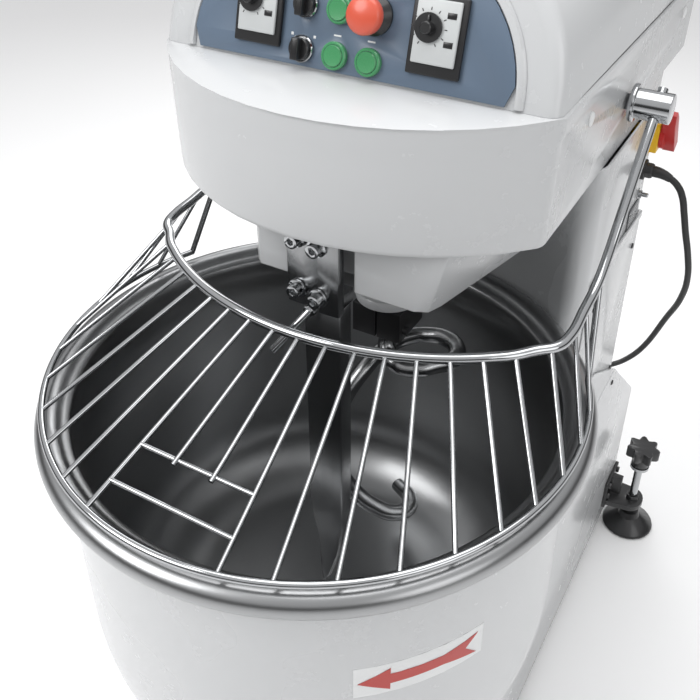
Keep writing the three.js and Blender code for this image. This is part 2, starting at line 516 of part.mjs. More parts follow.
for (const [tag, x, y] of layout.timers) {
  const g = join(box(x - 30, x + 30, y - 40, y + 40, 3.5, 9), box(x - 22, x + 22, y - 31, y + 31, -16, 4),
    box(x - 24, x + 24, y - 28, y + 36, 8, 13));
  const windows = [[x + 15, y + 22], [x + 15, y - 6]].map(([a, b]) => box(a - 5, a + 5, b - 3, b + 3, 12,
    14));
  add(`timer_${tag}_body`, cut(g, ...windows, post(5.3, 6, 16, x - 8, y + 8, 16)), 'black', face);
  const dial = join(post(15, 13.3, 15.3, x - 8, y + 8, 20), post(7, 15, 23, x - 8, y + 8, 24, 6),
    post(5, 8, 14, x - 8, y + 8, 16),
    box(x - 9, x - 7, y + 8, y + 14.5, 18, 24));
  add(`timer_${tag}_dial`, dial, 'silver', face);
}
for (const [tag, x, y] of layout.selectors) {
  add(`selector_${tag}_ring`, moved(knobRing(15, 11.6, 3.5, 8), x, y, 0), 'chrome', face);
  const lever = join(post(11.2, -14, 10, x, y, 20), post(12.6, 8.3, 13, x, y, 28, 12),
    box(x - 4.5, x + 4.5, y - 12, y + 12, 12, 22));
  add(`selector_${tag}_knob`, lever, 'black', face);
}
for (const [tag, x, y] of layout.buttons) {
  add(`button_${tag}_cap`, join(post(11.6, 4, 11, x, y, 28, 11.2), post(8, -14, 5, x, y, 20)), 'green',
    face);
}
{
  const [x, y] = layout.stop;
  add('stop_collar', moved(lathe([[10.5, 3.5], [21, 3.5], [21, 7], [15, 14], [10.5, 14], [10.5, 3.5]], 32),
    x, y, 0), 'black', face);
  add('stop_button', join(moved(lathe([[0, 20], [17, 20], [20, 23], [20, 30], [17, 34], [9, 36.5], [0, 37]],
    24), x, y, 0),
    post(10, -14, 22, x, y, 24)), 'red', face);
}

// ---- mains switch and cord entry, on the right side near the back ---------------------------
const SWITCH = [495, 1008];
{
  const [y, z] = SWITCH, x = SIDE + GAP;
  const body = join(box(x, x + 5, y - 11, y + 49, z - 34, z + 26),
    box(x + 4, x + 17, y - 5, y + 43, z - 24, z + 20),
    barX(15, x - 22, x + 2, y + 12, z - 6, 20));
  add('main_switch_body', body, 'yellow');
}
const KNOB = [SWITCH[0] + 16, SWITCH[1] - 2];
{
  const x = SIDE + 17.6, a = 32 * Math.PI / 180, u = [-Math.sin(a), Math.cos(a)],
    w = [Math.cos(a), Math.sin(a)];
  const at = (s, t) => [KNOB[0] + s * u[0] + t * w[0], KNOB[1] + s * u[1] + t * w[1]];
  const grip = side([at(-24, -9), at(-24, 9), at(34, 10), at(52, 4), at(52, -4), at(34, -10)], x + 3,
    x + 20);
  add('main_switch_handle', join(barX(20, x, x + 6, KNOB[0], KNOB[1], 24), grip), 'red');
}
const gland = [SIDE, 500, 952];
add('cable_gland', join(barX(14, gland[0] + GAP, gland[0] + 8, gland[1], gland[2], 6),
  barX(10.5, gland[0] + 7, gland[0] + 17, gland[1], gland[2], 16),
  barX(8, gland[0] - 18, gland[0] + 1, gland[1], gland[2], 16)), 'black');
const CORD_R = 5;
const coilAt = [40, 905], COIL_R = 52;
{
  const pts = [[265.4, 500, 952], [277, 500, 951.4], [293, 501.5, 939], [309, 506, 905], [322, 514, 870],
    [332, 526, 835],
    [339.5, 545, 772], [333, 580, 706], [312, 625, 630], [277, 673, 520], [249, 704, 462], [218, 742, 410],
    [184, 780, 362], [156, 812, 300], [138, 824, 210], [118, 832, 100], [98, 840, 28], [72, 841, 7],
    [coilAt[0] + 4, coilAt[1] - COIL_R - 14, 5.6]].map(([x, y, z]) => V(x, y, z));
  add('mains_cord', smooth(pts, CORD_R, 8, 42), 'rubber');
  const profile = [[COIL_R - 6, 0.6], [COIL_R + 4, 0.6], [COIL_R + 7, 5], [COIL_R + 4.6, 10],
    [COIL_R + 7, 15], [COIL_R + 4.6, 20],
    [COIL_R + 6, 25], [COIL_R + 2, 29.5], [COIL_R - 4, 29.5], [COIL_R - 8, 25], [COIL_R - 6.6, 20],
      [COIL_R - 8, 15], [COIL_R - 6.6, 10],
    [COIL_R - 9, 5], [COIL_R - 6, 0.6]];
  add('cord_coil', moved(lathe(profile, 26), coilAt[0], coilAt[1] + 0, 0), 'rubber');
}

// plug lying beside the coil, where the last turn leaves it
{
  const y = coilAt[1] + COIL_R, x = coilAt[0] + 66;
  add('mains_plug', join(box(x, x + 38, y - 21, y + 21, 0.5, 34), barX(9, x - 11, x + 1, y, 17),
    ...[-9.5, 9.5].map((d) => barX(2.4, x + 37, x + 57, y + d, 17, 10))), 'black');
}

// ---- stabiliser feet ------------------------------------------------------------------------
for (const [s, tag] of [[-1, 'left'], [1, 'right']]) {
  const fx = s * 311, fy = 754;
  const plate = box(Math.min(s * 257.4, s * 264), Math.max(s * 257.4, s * 264), 712, 792, 57, 124);
  const tip = [];
  for (let i = 0; i <= 10; i++) {
    const t = -Math.PI / 2 + Math.PI * i / 10;
    tip.push([s * (307 + 26 * Math.cos(t)), fy + 32 * Math.sin(t)]);
  }
  const arm = slab([[s * 262, 788], [s * 262, 716], ...tip], 62, 74);
  const web = side([[748, 70], [760, 70], [760, 120], [748, 120]], Math.min(s * 260, s * 284),
    Math.max(s * 260, s * 284));
  const nut = post(14, 73, 86, fx, fy, 6);
  const heads = [];
  const [near, far] = s > 0 ? [262, 269] : [-269, -262];
  for (const y of [724, 780]) for (const z of [84, 113]) heads.push(barX(7, near, far, y, z, 6));
  add(`foot_bracket_${tag}`, cut(join(plate, arm, web, nut, ...heads), post(8.4, 50, 200, fx, fy, 20)),
    'black');
  const star = [];
  for (let i = 0; i < 42; i++) {
    const a = 2 * Math.PI * i / 42;
    const r = 28 + 5.5 * Math.cos(7 * a);
    star.push([fx + r * Math.cos(a), fy + r * Math.sin(a)]);
  }
  const screw = join(slab(star, 198, 222), post(18, 174, 199, fx, fy, 24), post(8, 24, 180, fx, fy, 20),
    moved(lathe([[0, 0], [50, 0], [53, 4], [51, 9], [22, 27], [18, 40], [0, 40]], 24), fx, fy, 0));
  add(`foot_screw_${tag}`, screw, 'black');
}

// ---- origin: middle of the footprint, on the floor --------------------------------------------
machine.updateMatrixWorld(true);
const bounds = new THREE.Box3();
machine.traverse((o) => {
  if (o.isMesh && !['mains_cord', 'cord_coil', 'cable_gland',
    'mains_plug'].includes(o.name)) bounds.expandByObject(o, true);
});
machine.position.set(-(bounds.min.x + bounds.max.x) / 2, -(bounds.min.y + bounds.max.y) / 2, -bounds.min.z);
export default machine;
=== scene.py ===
"""Spiral dough mixer: the looks of a floor-standing bakery mixer, laid out as an add-on.

Each operator models one piece, or a group of like pieces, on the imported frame.
Sizes inside are millimetres in the mixer's own axes: z up from the floor, y back from the
bowl's axis, x to the operator's right. spot() turns such a place into the frame's metres.
"""
import math
from contextlib import contextmanager

import bmesh
import bpy
from bpy.props import FloatProperty, FloatVectorProperty, IntProperty, PointerProperty
from mathutils import Matrix, Vector


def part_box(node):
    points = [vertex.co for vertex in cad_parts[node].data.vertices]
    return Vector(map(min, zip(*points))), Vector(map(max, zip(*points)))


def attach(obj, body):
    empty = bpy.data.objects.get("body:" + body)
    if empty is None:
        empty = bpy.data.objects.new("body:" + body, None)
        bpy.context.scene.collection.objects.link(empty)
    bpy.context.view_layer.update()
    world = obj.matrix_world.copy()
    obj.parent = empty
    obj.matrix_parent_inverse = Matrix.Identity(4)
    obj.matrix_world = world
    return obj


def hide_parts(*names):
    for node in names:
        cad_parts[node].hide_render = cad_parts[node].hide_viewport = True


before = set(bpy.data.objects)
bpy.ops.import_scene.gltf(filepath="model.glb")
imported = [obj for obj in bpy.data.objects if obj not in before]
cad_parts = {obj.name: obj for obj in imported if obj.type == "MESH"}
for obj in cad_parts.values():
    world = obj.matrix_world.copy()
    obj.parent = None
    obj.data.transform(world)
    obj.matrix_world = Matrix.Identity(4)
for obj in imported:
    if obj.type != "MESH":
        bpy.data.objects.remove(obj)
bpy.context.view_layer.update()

bl_info = {
    "name": "Spiral dough mixer",
    "version": (1, 0, 0),
    "blender": (4, 5, 0),
    "location": "3D View > Sidebar > Mixer",
    "description": "Models a floor-standing spiral dough mixer on its packed frame",
    "category": "Object",
}

MM = 0.001
BOWL_LOW, BOWL_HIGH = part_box("bowl")
BOWL_Y = (BOWL_LOW[1] + BOWL_HIGH[1]) / 2      # the bowl's axis, in the frame
RIM_Z = 810                                    # middle of the bowl's rolled rim
LEDGE_Z = 1190                                 # top of the ledge under the control panel
HEAD_REAR = 680
TILT = math.radians(15)                        # how far the control panel leans back
HOOK = (20, 148)                               # the spiral hook's axis


def spot(x, y, z):
    """A place on the mixer in millimetres, as metres in the frame."""
    return Vector((x * MM, y * MM + BOWL_Y, z * MM))


SHIFT = Matrix.Translation(spot(0, 0, 0))
# the panel's own axes: x across, y up the panel, z out of it
FACE = Matrix.Translation(spot(0, 61.7, LEDGE_Z + 1.5)) @ Matrix.Rotation(math.pi / 2 - TILT, 4, "X")


# ---- modelling helpers -------------------------------------------------------------------------
def clear():
    if bpy.context.object and bpy.context.object.mode != "OBJECT":
        bpy.ops.object.mode_set(mode="OBJECT")
    bpy.ops.object.select_all(action="DESELECT")


def choose(*pieces):
    clear()
    for piece in pieces:
        piece.select_set(True)
    bpy.context.view_layer.objects.active = pieces[0]


@contextmanager
def editing(piece, kind="VERT"):
    choose(piece)
    bpy.ops.object.mode_set(mode="EDIT")
    bpy.ops.mesh.select_mode(type=kind)
    bpy.ops.mesh.select_all(action="DESELECT")
    yield
    bpy.ops.object.mode_set(mode="OBJECT")


def pick(piece, kind, test):
    """Selects the verts, edges or faces that pass the test, in edit mode."""
    mesh = bmesh.from_edit_mesh(piece.data)
    for item in getattr(mesh, kind):
        item.select_set(bool(test(item)))
    mesh.select_flush(True)
    bmesh.update_edit_mesh(piece.data)


def named(name):
    piece = bpy.context.object
    piece.name = piece.data.name = name
    return piece


def applied(piece, kind, **settings):
    """Adds one modifier with its settings and applies it."""
    choose(piece)
    bpy.ops.object.modifier_add(type=kind)
    modifier = piece.modifiers[-1]
    for key, value in settings.items():
        setattr(modifier, key, value)
    bpy.ops.object.modifier_apply(modifier=modifier.name)
    return piece


def rounded(piece, width, segments=2, angle=30):
    return applied(piece, "BEVEL", width=width * MM, segments=segments, limit_method="ANGLE",
                   angle_limit=math.radians(angle), use_clamp_overlap=True)


def merged(piece, gap=0.01):
    with editing(piece):
        bpy.ops.mesh.select_all(action="SELECT")
        bpy.ops.mesh.remove_doubles(threshold=gap * MM)
        bpy.ops.mesh.normals_make_consistent(inside=False)
    return piece


def joined(name, parts):
    choose(*parts)
    if len(parts) > 1:
        bpy.ops.object.join()
    return named(name)


def placed(piece, matrix):
    """Moves a piece that was made at the origin to its place, inside its mesh."""
    piece.data.transform(matrix)
    piece.data.update()
    return piece


def turned(name, profile, segments=96, place=SHIFT):
    """A turned shape: a circle whose edge is extruded and resized from point to point of the profile.

    The profile is (radius, height) pairs. It may start or end on the axis, or close on itself.
    """
    clear()
    pole = profile[0][0] == 0
    points = profile[1:] if pole else profile
    radius, height = points[0]
    bpy.ops.mesh.primitive_circle_add(vertices=segments, radius=radius * MM, location=(0, 0, 0),
                                      fill_type="TRIFAN" if pole else "NOTHING")
    piece = named(name)
    piece.data.transform(Matrix.Translation((0, 0, height * MM)))
    with editing(piece):
        if pole:
            pick(piece, "verts", lambda v: v.co.xy.length < radius * MM * 0.5)
            bpy.ops.transform.translate(value=(0, 0, (profile[0][1] - height) * MM))
            bpy.ops.mesh.select_all(action="DESELECT")
        pick(piece, "verts", lambda v: v.co.xy.length > radius * MM * 0.9)
        for next_radius, next_height in points[1:]:
            lift = {"value": (0, 0, (next_height - height) * MM)}
            bpy.ops.mesh.extrude_edges_move(TRANSFORM_OT_translate=lift)
            if next_radius == 0:
                bpy.ops.mesh.merge(type="CENTER")
                break
            scale = next_radius / radius
            bpy.ops.transform.resize(value=(scale, scale, 1), center_override=(0, 0, next_height * MM))
            radius, height = next_radius, next_height
    return placed(merged(piece), place)


def surface(name, columns, rows, place):
    """A grid whose points are moved to place(i, j)."""
    clear()
    bpy.ops.mesh.primitive_grid_add(x_subdivisions=columns, y_subdivisions=rows, size=2)
    piece = named(name)
    for point in piece.data.vertices:
        i = round((point.co.x + 1) / 2 * columns)
        j = round((point.co.y + 1) / 2 * rows)
        point.co = Vector(place(i, j)) * MM
    return piece


def capped(piece):
    """Closes the open ends of a piece and turns its faces outwards."""
    with editing(piece, "EDGE"):
        bpy.ops.mesh.select_all(action="SELECT")
        bpy.ops.mesh.remove_doubles(threshold=1e-5)
        bpy.ops.mesh.select_all(action="DESELECT")
        pick(piece, "edges", lambda e: e.is_boundary)
        bpy.ops.mesh.edge_face_add()
        bpy.ops.mesh.select_all(action="SELECT")
        bpy.ops.mesh.normals_make_consistent(inside=False)
    return piece


def plate(name, outline, low, high, edge=0.6, place=SHIFT):
    """A flat piece: a filled outline of (x, y) points, extruded up and rounded."""
    clear()
    bpy.ops.mesh.primitive_circle_add(vertices=len(outline), radius=1, fill_type="NGON")
    piece = named(name)
    for point, (x, y) in zip(piece.data.vertices, outline):
        point.co = Vector((x, y, low)) * MM
    with editing(piece, "FACE"):
        bpy.ops.mesh.select_all(action="SELECT")
        bpy.ops.mesh.extrude_region_move(TRANSFORM_OT_translate={"value": (0, 0, (high - low) * MM)})
        bpy.ops.mesh.select_all(action="SELECT")
        bpy.ops.mesh.normals_make_consistent(inside=False)
    if edge:
        rounded(piece, edge, 2, 40)
    return placed(piece, place)


def block(name, low, high, edge=1.0, place=SHIFT, segments=2):
    """A box between two corners, with its edges rounded in edit mode."""
    clear()
    low, high = Vector(low) * MM, Vector(high) * MM
    bpy.ops.mesh.primitive_cube_add(size=1, location=(0, 0, 0))
    piece = named(name)
    piece.data.transform(Matrix.Translation((low + high) / 2) @ Matrix.Diagonal((*(high - low), 1)))
    with editing(piece, "EDGE"):
        bpy.ops.mesh.select_all(action="SELECT")
        bpy.ops.mesh.bevel(offset=edge * MM, segments=segments, affect="EDGES")
    return placed(piece, place)


def tube(name, points, radius, cyclic=False, sides=4, swell=None, kind="BEZIER"):
    """Round bar along a path of places in metres, made from a curve and turned into a mesh."""
    piece = rope(name, points, radius, cyclic, sides, swell, kind)
    choose(piece)
    bpy.ops.object.convert(target="MESH")
    return bpy.context.object


def rope(name, points, radius, cyclic=False, sides=4, swell=None, kind="BEZIER"):
    curve = bpy.data.curves.new(name, "CURVE")
    curve.dimensions = "3D"
    curve.bevel_depth = radius * MM
    curve.bevel_resolution = sides
    curve.use_fill_caps = True
    curve.resolution_u = 8
    spline = curve.splines.new(kind)
    line = spline.bezier_points if kind == "BEZIER" else spline.points
    line.add(len(points) - 1)
    for i, place in enumerate(points):
        if kind == "BEZIER":
            line[i].co = place
            line[i].handle_left_type = line[i].handle_right_type = "AUTO"
        else:
            line[i].co = (*place, 1)
        line[i].radius = swell[i] if swell else 1
    spline.use_cyclic_u = cyclic
    piece = bpy.data.objects.new(name, curve)
    bpy.context.scene.collection.objects.link(piece)
    return piece


def recut(name, node, edge=0.8, segments=2, angle=30):
    """A clean copy of a frame node: merged, its flat faces dissolved, its edges rounded."""
    piece = bpy.data.objects.new(name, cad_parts[node].data.copy())
    piece.data.name = name
    bpy.context.scene.collection.objects.link(piece)
    with editing(piece):
        bpy.ops.mesh.select_all(action="SELECT")
        bpy.ops.mesh.remove_doubles(threshold=2e-5)
        bpy.ops.mesh.dissolve_limited(angle_limit=math.radians(0.6))
    if edge:
        rounded(piece, edge, segments, angle)
    return piece


def done(piece, body, look, *nodes, angle=32):
    """Smooths a finished piece, gives it its material, and lets it ride on its body."""
    choose(piece)
    bpy.ops.object.transform_apply(location=True, rotation=True, scale=True)
    bpy.ops.object.shade_smooth_by_angle(angle=math.radians(angle))
    return shown(piece, body, look, *nodes)


def shown(piece, body, look, *nodes):
    piece.data.materials.clear()
    piece.data.materials.append(LOOKS[look](look))
    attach(piece, body)
    if nodes:
        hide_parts(*nodes)
    return piece


def dress(look, *nodes):
    """A frame node whose own shape is kept gets its finish."""
    for node in nodes:
        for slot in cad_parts[node].material_slots:
            slot.material = LOOKS[look](look)


# ---- shader maths ------------------------------------------------------------------------------
class Value:
    """One socket of a material. Python's operators on it add Math nodes."""

    def __init__(self, kit, socket):
        self.kit, self.socket = kit, socket

    def maths(self, operation, *values):
        return self.kit.node("ShaderNodeMath", {"operation": operation}, dict(enumerate(values)))

    def __add__(self, other):
        return self.maths("ADD", self, other)

    def __sub__(self, other):
        return self.maths("SUBTRACT", self, other)

    def __rsub__(self, other):
        return self.maths("SUBTRACT", other, self)

    def __mul__(self, other):
        return self.maths("MULTIPLY", self, other)

    def __truediv__(self, other):
        return self.maths("DIVIDE", self, other)

    def __gt__(self, other):
        return self.maths("GREATER_THAN", self, other)

    def __lt__(self, other):
        return self.maths("LESS_THAN", self, other)

    __radd__, __rmul__ = __add__, __mul__


class Finish:
    """A material under construction, with its Principled shader and the nodes that feed it."""

    def __init__(self, name, **constants):
        self.material = bpy.data.materials.new(name)
        self.material.use_nodes = True
        self.tree = self.material.node_tree
        self.shader = self.tree.nodes["Principled BSDF"]
        for key, value in constants.items():
            self.shader.inputs[key.replace("_", " ")].default_value = value
        self.place = self.node("ShaderNodeTexCoord", {}, {}, "Object")

    def node(self, kind, settings=None, inputs=None, output=0):
        """Adds any node: its settings first, then values or links for its sockets."""
        node = self.tree.nodes.new(kind)
        for key, value in (settings or {}).items():
            if key == "stops":
                ramp = node.color_ramp
                while len(ramp.elements) < len(value):
                    ramp.elements.new(0.5)
                for element, (at, colour) in zip(ramp.elements, value):
                    element.position, element.color = at, (*colour[:3], 1)
            else:
                setattr(node, key, value)
        for key, value in (inputs or {}).items():
            if isinstance(value, Value):
                self.tree.links.new(value.socket, node.inputs[key])
            else:
                node.inputs[key].default_value = value
        return Value(self, node.outputs[output])

    def feed(self, socket, value):
        self.tree.links.new(value.socket, self.shader.inputs[socket])

    def noise(self, scale, detail=2.0, stretch=None, rough=0.5):
        vector = self.place
        if stretch:
            vector = self.node("ShaderNodeMapping", {}, {"Vector": vector, "Scale": stretch})
        return self.node("ShaderNodeTexNoise", {},
                         {"Vector": vector, "Scale": scale, "Detail": detail, "Roughness": rough})

    def mix(self, factor, first, second):
        return self.node("ShaderNodeMix", {"data_type": "RGBA"}, {0: factor, 6: first, 7: second}, 2)

    def axes(self):
        split = self.node("ShaderNodeSeparateXYZ", {}, {0: self.place})
        outputs = split.socket.node.outputs
        return [Value(self, outputs[i]) for i in range(3)]

    def bump(self, height, strength, depth=0.0002):
        normal = self.node("ShaderNodeBump", {},
                           {"Height": height, "Strength": strength, "Distance": depth})
        self.feed("Normal", normal)


def rgba(colour):
    return (*colour[:3], 1.0)


def shade(colour, k):
    return tuple(min(1.0, c * k) for c in colour[:3]) + (1.0,)


def kept(build):
    """Each material is built once and then reused."""
    def look(name):
        found = bpy.data.materials.get("mixer_" + name)
        return found or build("mixer_" + name)
    return look


def painted(colour_name, rough=0.28, coat=0.25, grain=1.0):
    """Powder coat: faint orange peel, slight shade changes and a soft scuffed gloss."""
    @kept
    def build(name):
        colour = tuple(getattr(bpy.context.scene.mixer_colours, colour_name))
        kit = Finish(name, Coat_Weight=coat, Coat_Roughness=0.12, Base_Color=rgba(colour))
        broad = kit.noise(2.6, 3)
        scuff = kit.noise(38, 4, rough=0.62)
        worn = kit.node("ShaderNodeValToRGB", {"stops": [(0.56, (0, 0, 0)), (0.78, (1, 1, 1))]}, {0: scuff})
        tone = kit.mix(broad, rgba(colour), shade(colour, 0.955))
        kit.feed("Base Color", kit.mix(worn * 0.015, tone, shade(colour, 0.9)))
        kit.feed("Roughness", broad * 0.05 + worn * 0.012 + (rough - 0.025))
        kit.bump(kit.noise(520, 1), 0.10 * grain, 0.00025)
        return kit.material
    return build


def brushed(colour_name, rough=0.26, across=(1, 1, 60), depth=0.12):
    """Stainless steel with a straight brushed grain across the given axis."""
    @kept
    def build(name):
        colour = tuple(getattr(bpy.context.scene.mixer_colours, colour_name))
        kit = Finish(name, Metallic=1.0, Base_Color=rgba(colour))
        lines = kit.noise(24, 4, across, 0.6)
        smear = kit.noise(7, 3)
        kit.feed("Base Color", kit.mix(lines * 0.5, rgba(colour), shade(colour, 0.78)))
        kit.feed("Roughness", lines * 0.16 + smear * 0.10 + (rough - 0.12))
        kit.bump(lines, depth, 0.0001)
        return kit.material
    return build


def spun(colour_name, rough=0.24):
    """Steel polished while it turned: fine rings round the bowl's axis and faint upright smears."""
    @kept
    def build(name):
        colour = tuple(getattr(bpy.context.scene.mixer_colours, colour_name))
        kit = Finish(name, Metallic=1.0, Base_Color=rgba(colour))
        x, y, z = kit.axes()
        y = y - BOWL_Y
        around = kit.node("ShaderNodeMath", {"operation": "ARCTAN2"}, {0: y, 1: x})
        reach = kit.node("ShaderNodeMath", {"operation": "SQRT"}, {0: x * x + y * y})
        rings = kit.node("ShaderNodeCombineXYZ", {}, {0: around * 0.35, 1: reach * 90, 2: z * 90})
        fine = kit.node("ShaderNodeTexNoise", {}, {"Vector": rings, "Scale": 4.0, "Detail": 4.0})
        upright = kit.node("ShaderNodeCombineXYZ", {}, {0: around * 2.4, 1: reach * 1.5, 2: z * 1.2})
        smear = kit.node("ShaderNodeTexNoise", {}, {"Vector": upright, "Scale": 2.2, "Detail": 3.0})
        kit.feed("Base Color", kit.mix(fine * 0.22, rgba(colour), shade(colour, 0.86)))
        kit.feed("Roughness", fine * 0.06 + smear * 0.06 + rough)
        kit.bump(fine, 0.03, 0.0001)
        return kit.material
    return build


def polished(colour_name, rough=0.07):
    """Bright chrome with faint polishing haze."""
    @kept
    def build(name):
        colour = tuple(getattr(bpy.context.scene.mixer_colours, colour_name))
        kit = Finish(name, Metallic=1.0, Base_Color=rgba(colour))
        haze = kit.noise(60, 4)
        kit.feed("Base Color", kit.mix(haze, rgba(colour), shade(colour, 0.88)))
        kit.feed("Roughness", haze * 0.10 + (rough - 0.03))
        kit.bump(kit.noise(300, 1), 0.03, 0.0001)
        return kit.material
    return build


def moulded(colour_name, rough=0.42, coat=0.0, grain=1.0):
    """Moulded plastic: fine spark-eroded grain and slight gloss changes."""
    @kept
    def build(name):
        colour = tuple(getattr(bpy.context.scene.mixer_colours, colour_name))
        kit = Finish(name, Coat_Weight=coat, Coat_Roughness=0.1, Base_Color=rgba(colour))
        grains = kit.noise(1400, 2)
        patch = kit.noise(16, 3)
        kit.feed("Base Color", kit.mix(patch * 0.5, rgba(colour), shade(colour, 0.82)))
        kit.feed("Roughness", grains * 0.12 + patch * 0.10 + (rough - 0.1))
        kit.bump(grains, 0.16 * grain, 0.0002)
        return kit.material
    return build


def cast(colour_name, rough=0.6):
    """Cast and machined iron with a pebbled skin."""
    @kept
    def build(name):
        colour = tuple(getattr(bpy.context.scene.mixer_colours, colour_name))
        kit = Finish(name, Metallic=0.7, Base_Color=rgba(colour))
        skin = kit.noise(120, 5, rough=0.65)
        kit.feed("Base Color", kit.mix(skin, shade(colour, 0.8), shade(colour, 1.25)))
        kit.feed("Roughness", skin * 0.25 + (rough - 0.12))
        kit.bump(skin, 0.35, 0.0006)
        return kit.material
    return build


def plate_marks(name, ink_name, ground_name, columns, rows, gaps):
    """A small plate with rows of printed bars in place of words."""
    @kept
    def build(full_name):
        colours = bpy.context.scene.mixer_colours
        ink, ground = tuple(getattr(colours, ink_name)), tuple(getattr(colours, ground_name))
        kit = Finish(full_name, Roughness=0.4, Base_Color=rgba(ground))
        uv = kit.node("ShaderNodeTexCoord", {}, {}, "UV")
        split = kit.node("ShaderNodeSeparateXYZ", {}, {0: uv})
        u, v = [Value(kit, split.socket.node.outputs[i]) for i in range(2)]
        row = kit.node("ShaderNodeMath", {"operation": "FRACT"}, {0: v * rows})
        cell = kit.node("ShaderNodeMath", {"operation": "FLOOR"}, {0: v * rows})
        letters = kit.node("ShaderNodeCombineXYZ", {}, {0: u * columns, 1: cell * 3.7})
        words = kit.node("ShaderNodeTexNoise", {"noise_dimensions": "2D"},
                         {"Vector": letters, "Scale": 1.0})
        inside = (u > 0.08) * (u < 0.92) * (v > 0.08) * (v < 0.92)
        mask = (row > 0.35) * (row < 0.72) * (words > gaps) * inside
        kit.feed("Base Color", kit.mix(mask, rgba(ground), rgba(ink)))
        kit.bump(mask, 0.1, 0.0001)
        return kit.material
    return build


LOOKS = {
    "white_paint": painted("paint", 0.27, 0.3),
    "panel": painted("panel", 0.38, 0.1),
    "dark_paint": painted("dark", 0.4, 0.1),
    "foot_paint": painted("dark", 0.33, 0.3),
    "motor_paint": painted("motor", 0.45, 0.1),
    "bowl_steel": spun("steel"),
    "steel": brushed("steel", 0.24, (1, 1, 0.03), 0.06),
    "bar_steel": brushed("steel", 0.20, (20, 20, 0.4), 0.05),
    "chrome": polished("chrome"),
    "black": moulded("black", 0.40),
    "knob_black": moulded("black", 0.30, 0.2),
    "hub_black": moulded("black", 0.34, 0.1),
    "silver": moulded("silver", 0.35),
    "green": moulded("green", 0.25, 0.3, 0.4),
    "red": moulded("red", 0.30, 0.25, 0.5),
    "switch_red": moulded("switch_red", 0.34, 0.1),
    "yellow": moulded("yellow", 0.36, 0.1),
    "rubber": moulded("rubber", 0.55),
    "cast": cast("cast"),
    "label_white": moulded("label", 0.32, 0.2, 0.3),
    "arrow_red": moulded("arrow", 0.34, 0.1, 0.3),
    "rating": plate_marks("rating", "label", "rating", 26, 9, 0.47),
    "print_white": moulded("label", 0.4, 0.0, 0.3),
}


# ---- sizes and colours a user would change -----------------------------------------------------
def colour(label, value, about):
    return FloatVectorProperty(name=label, description=about, subtype="COLOR", size=3, min=0, max=1,
                               default=value)


class MixerSizes(bpy.types.PropertyGroup):
    rim_radius: FloatProperty(name="Rim radius",
                              description="Radius of the bowl's rim at its roll's centre",
                              default=0.325, unit="LENGTH")
    guard_wire: FloatProperty(name="Guard wire", description="Radius of the guard's thin wires",
                              default=0.0029, unit="LENGTH")
    hook_rod: FloatProperty(name="Hook rod", description="Radius of the spiral hook's rod",
                            default=0.0125, unit="LENGTH")
    cord_diameter: FloatProperty(name="Cord diameter", description="Outside diameter of the mains cord",
                                 default=0.010, unit="LENGTH")
    round_faces: IntProperty(name="Round faces", description="Faces round the bowl and drum", default=144,
                             min=24, max=256)


class MixerColours(bpy.types.PropertyGroup):
    paint: colour("Paint", (0.60, 0.61, 0.617), "Powder coat of the body")
    panel: colour("Panel", (0.130, 0.178, 0.245), "Control panel")
    steel: colour("Steel", (0.36, 0.365, 0.37), "Bowl, hook and breaker bar")
    chrome: colour("Chrome", (0.50, 0.51, 0.52), "Guard and bezels")
    black: colour("Black plastic", (0.018, 0.018, 0.019), "Knobs, hub and timers")
    rubber: colour("Rubber", (0.022, 0.022, 0.022), "Cord and tyres")
    dark: colour("Dark paint", (0.016, 0.016, 0.017), "Feet")
    motor: colour("Motor paint", (0.10, 0.13, 0.15), "Motors")
    cast: colour("Cast iron", (0.12, 0.12, 0.125), "Pulleys and bearings")
    green: colour("Green", (0.075, 0.33, 0.135), "Push buttons")
    red: colour("Stop red", (0.72, 0.115, 0.065), "Stop button")
    switch_red: colour("Switch red", (0.52, 0.012, 0.010), "Mains switch handle")
    yellow: colour("Switch yellow", (0.80, 0.47, 0.0), "Mains switch body")
    silver: colour("Timer face", (0.60, 0.62, 0.62), "Timer faces")
    label: colour("Label white", (0.80, 0.81, 0.81), "Labels and printed marks")
    arrow: colour("Arrow red", (0.50, 0.022, 0.012), "Arrow of the drum's label")
    rating: colour("Rating plate", (0.055, 0.06, 0.065), "Rating plate")


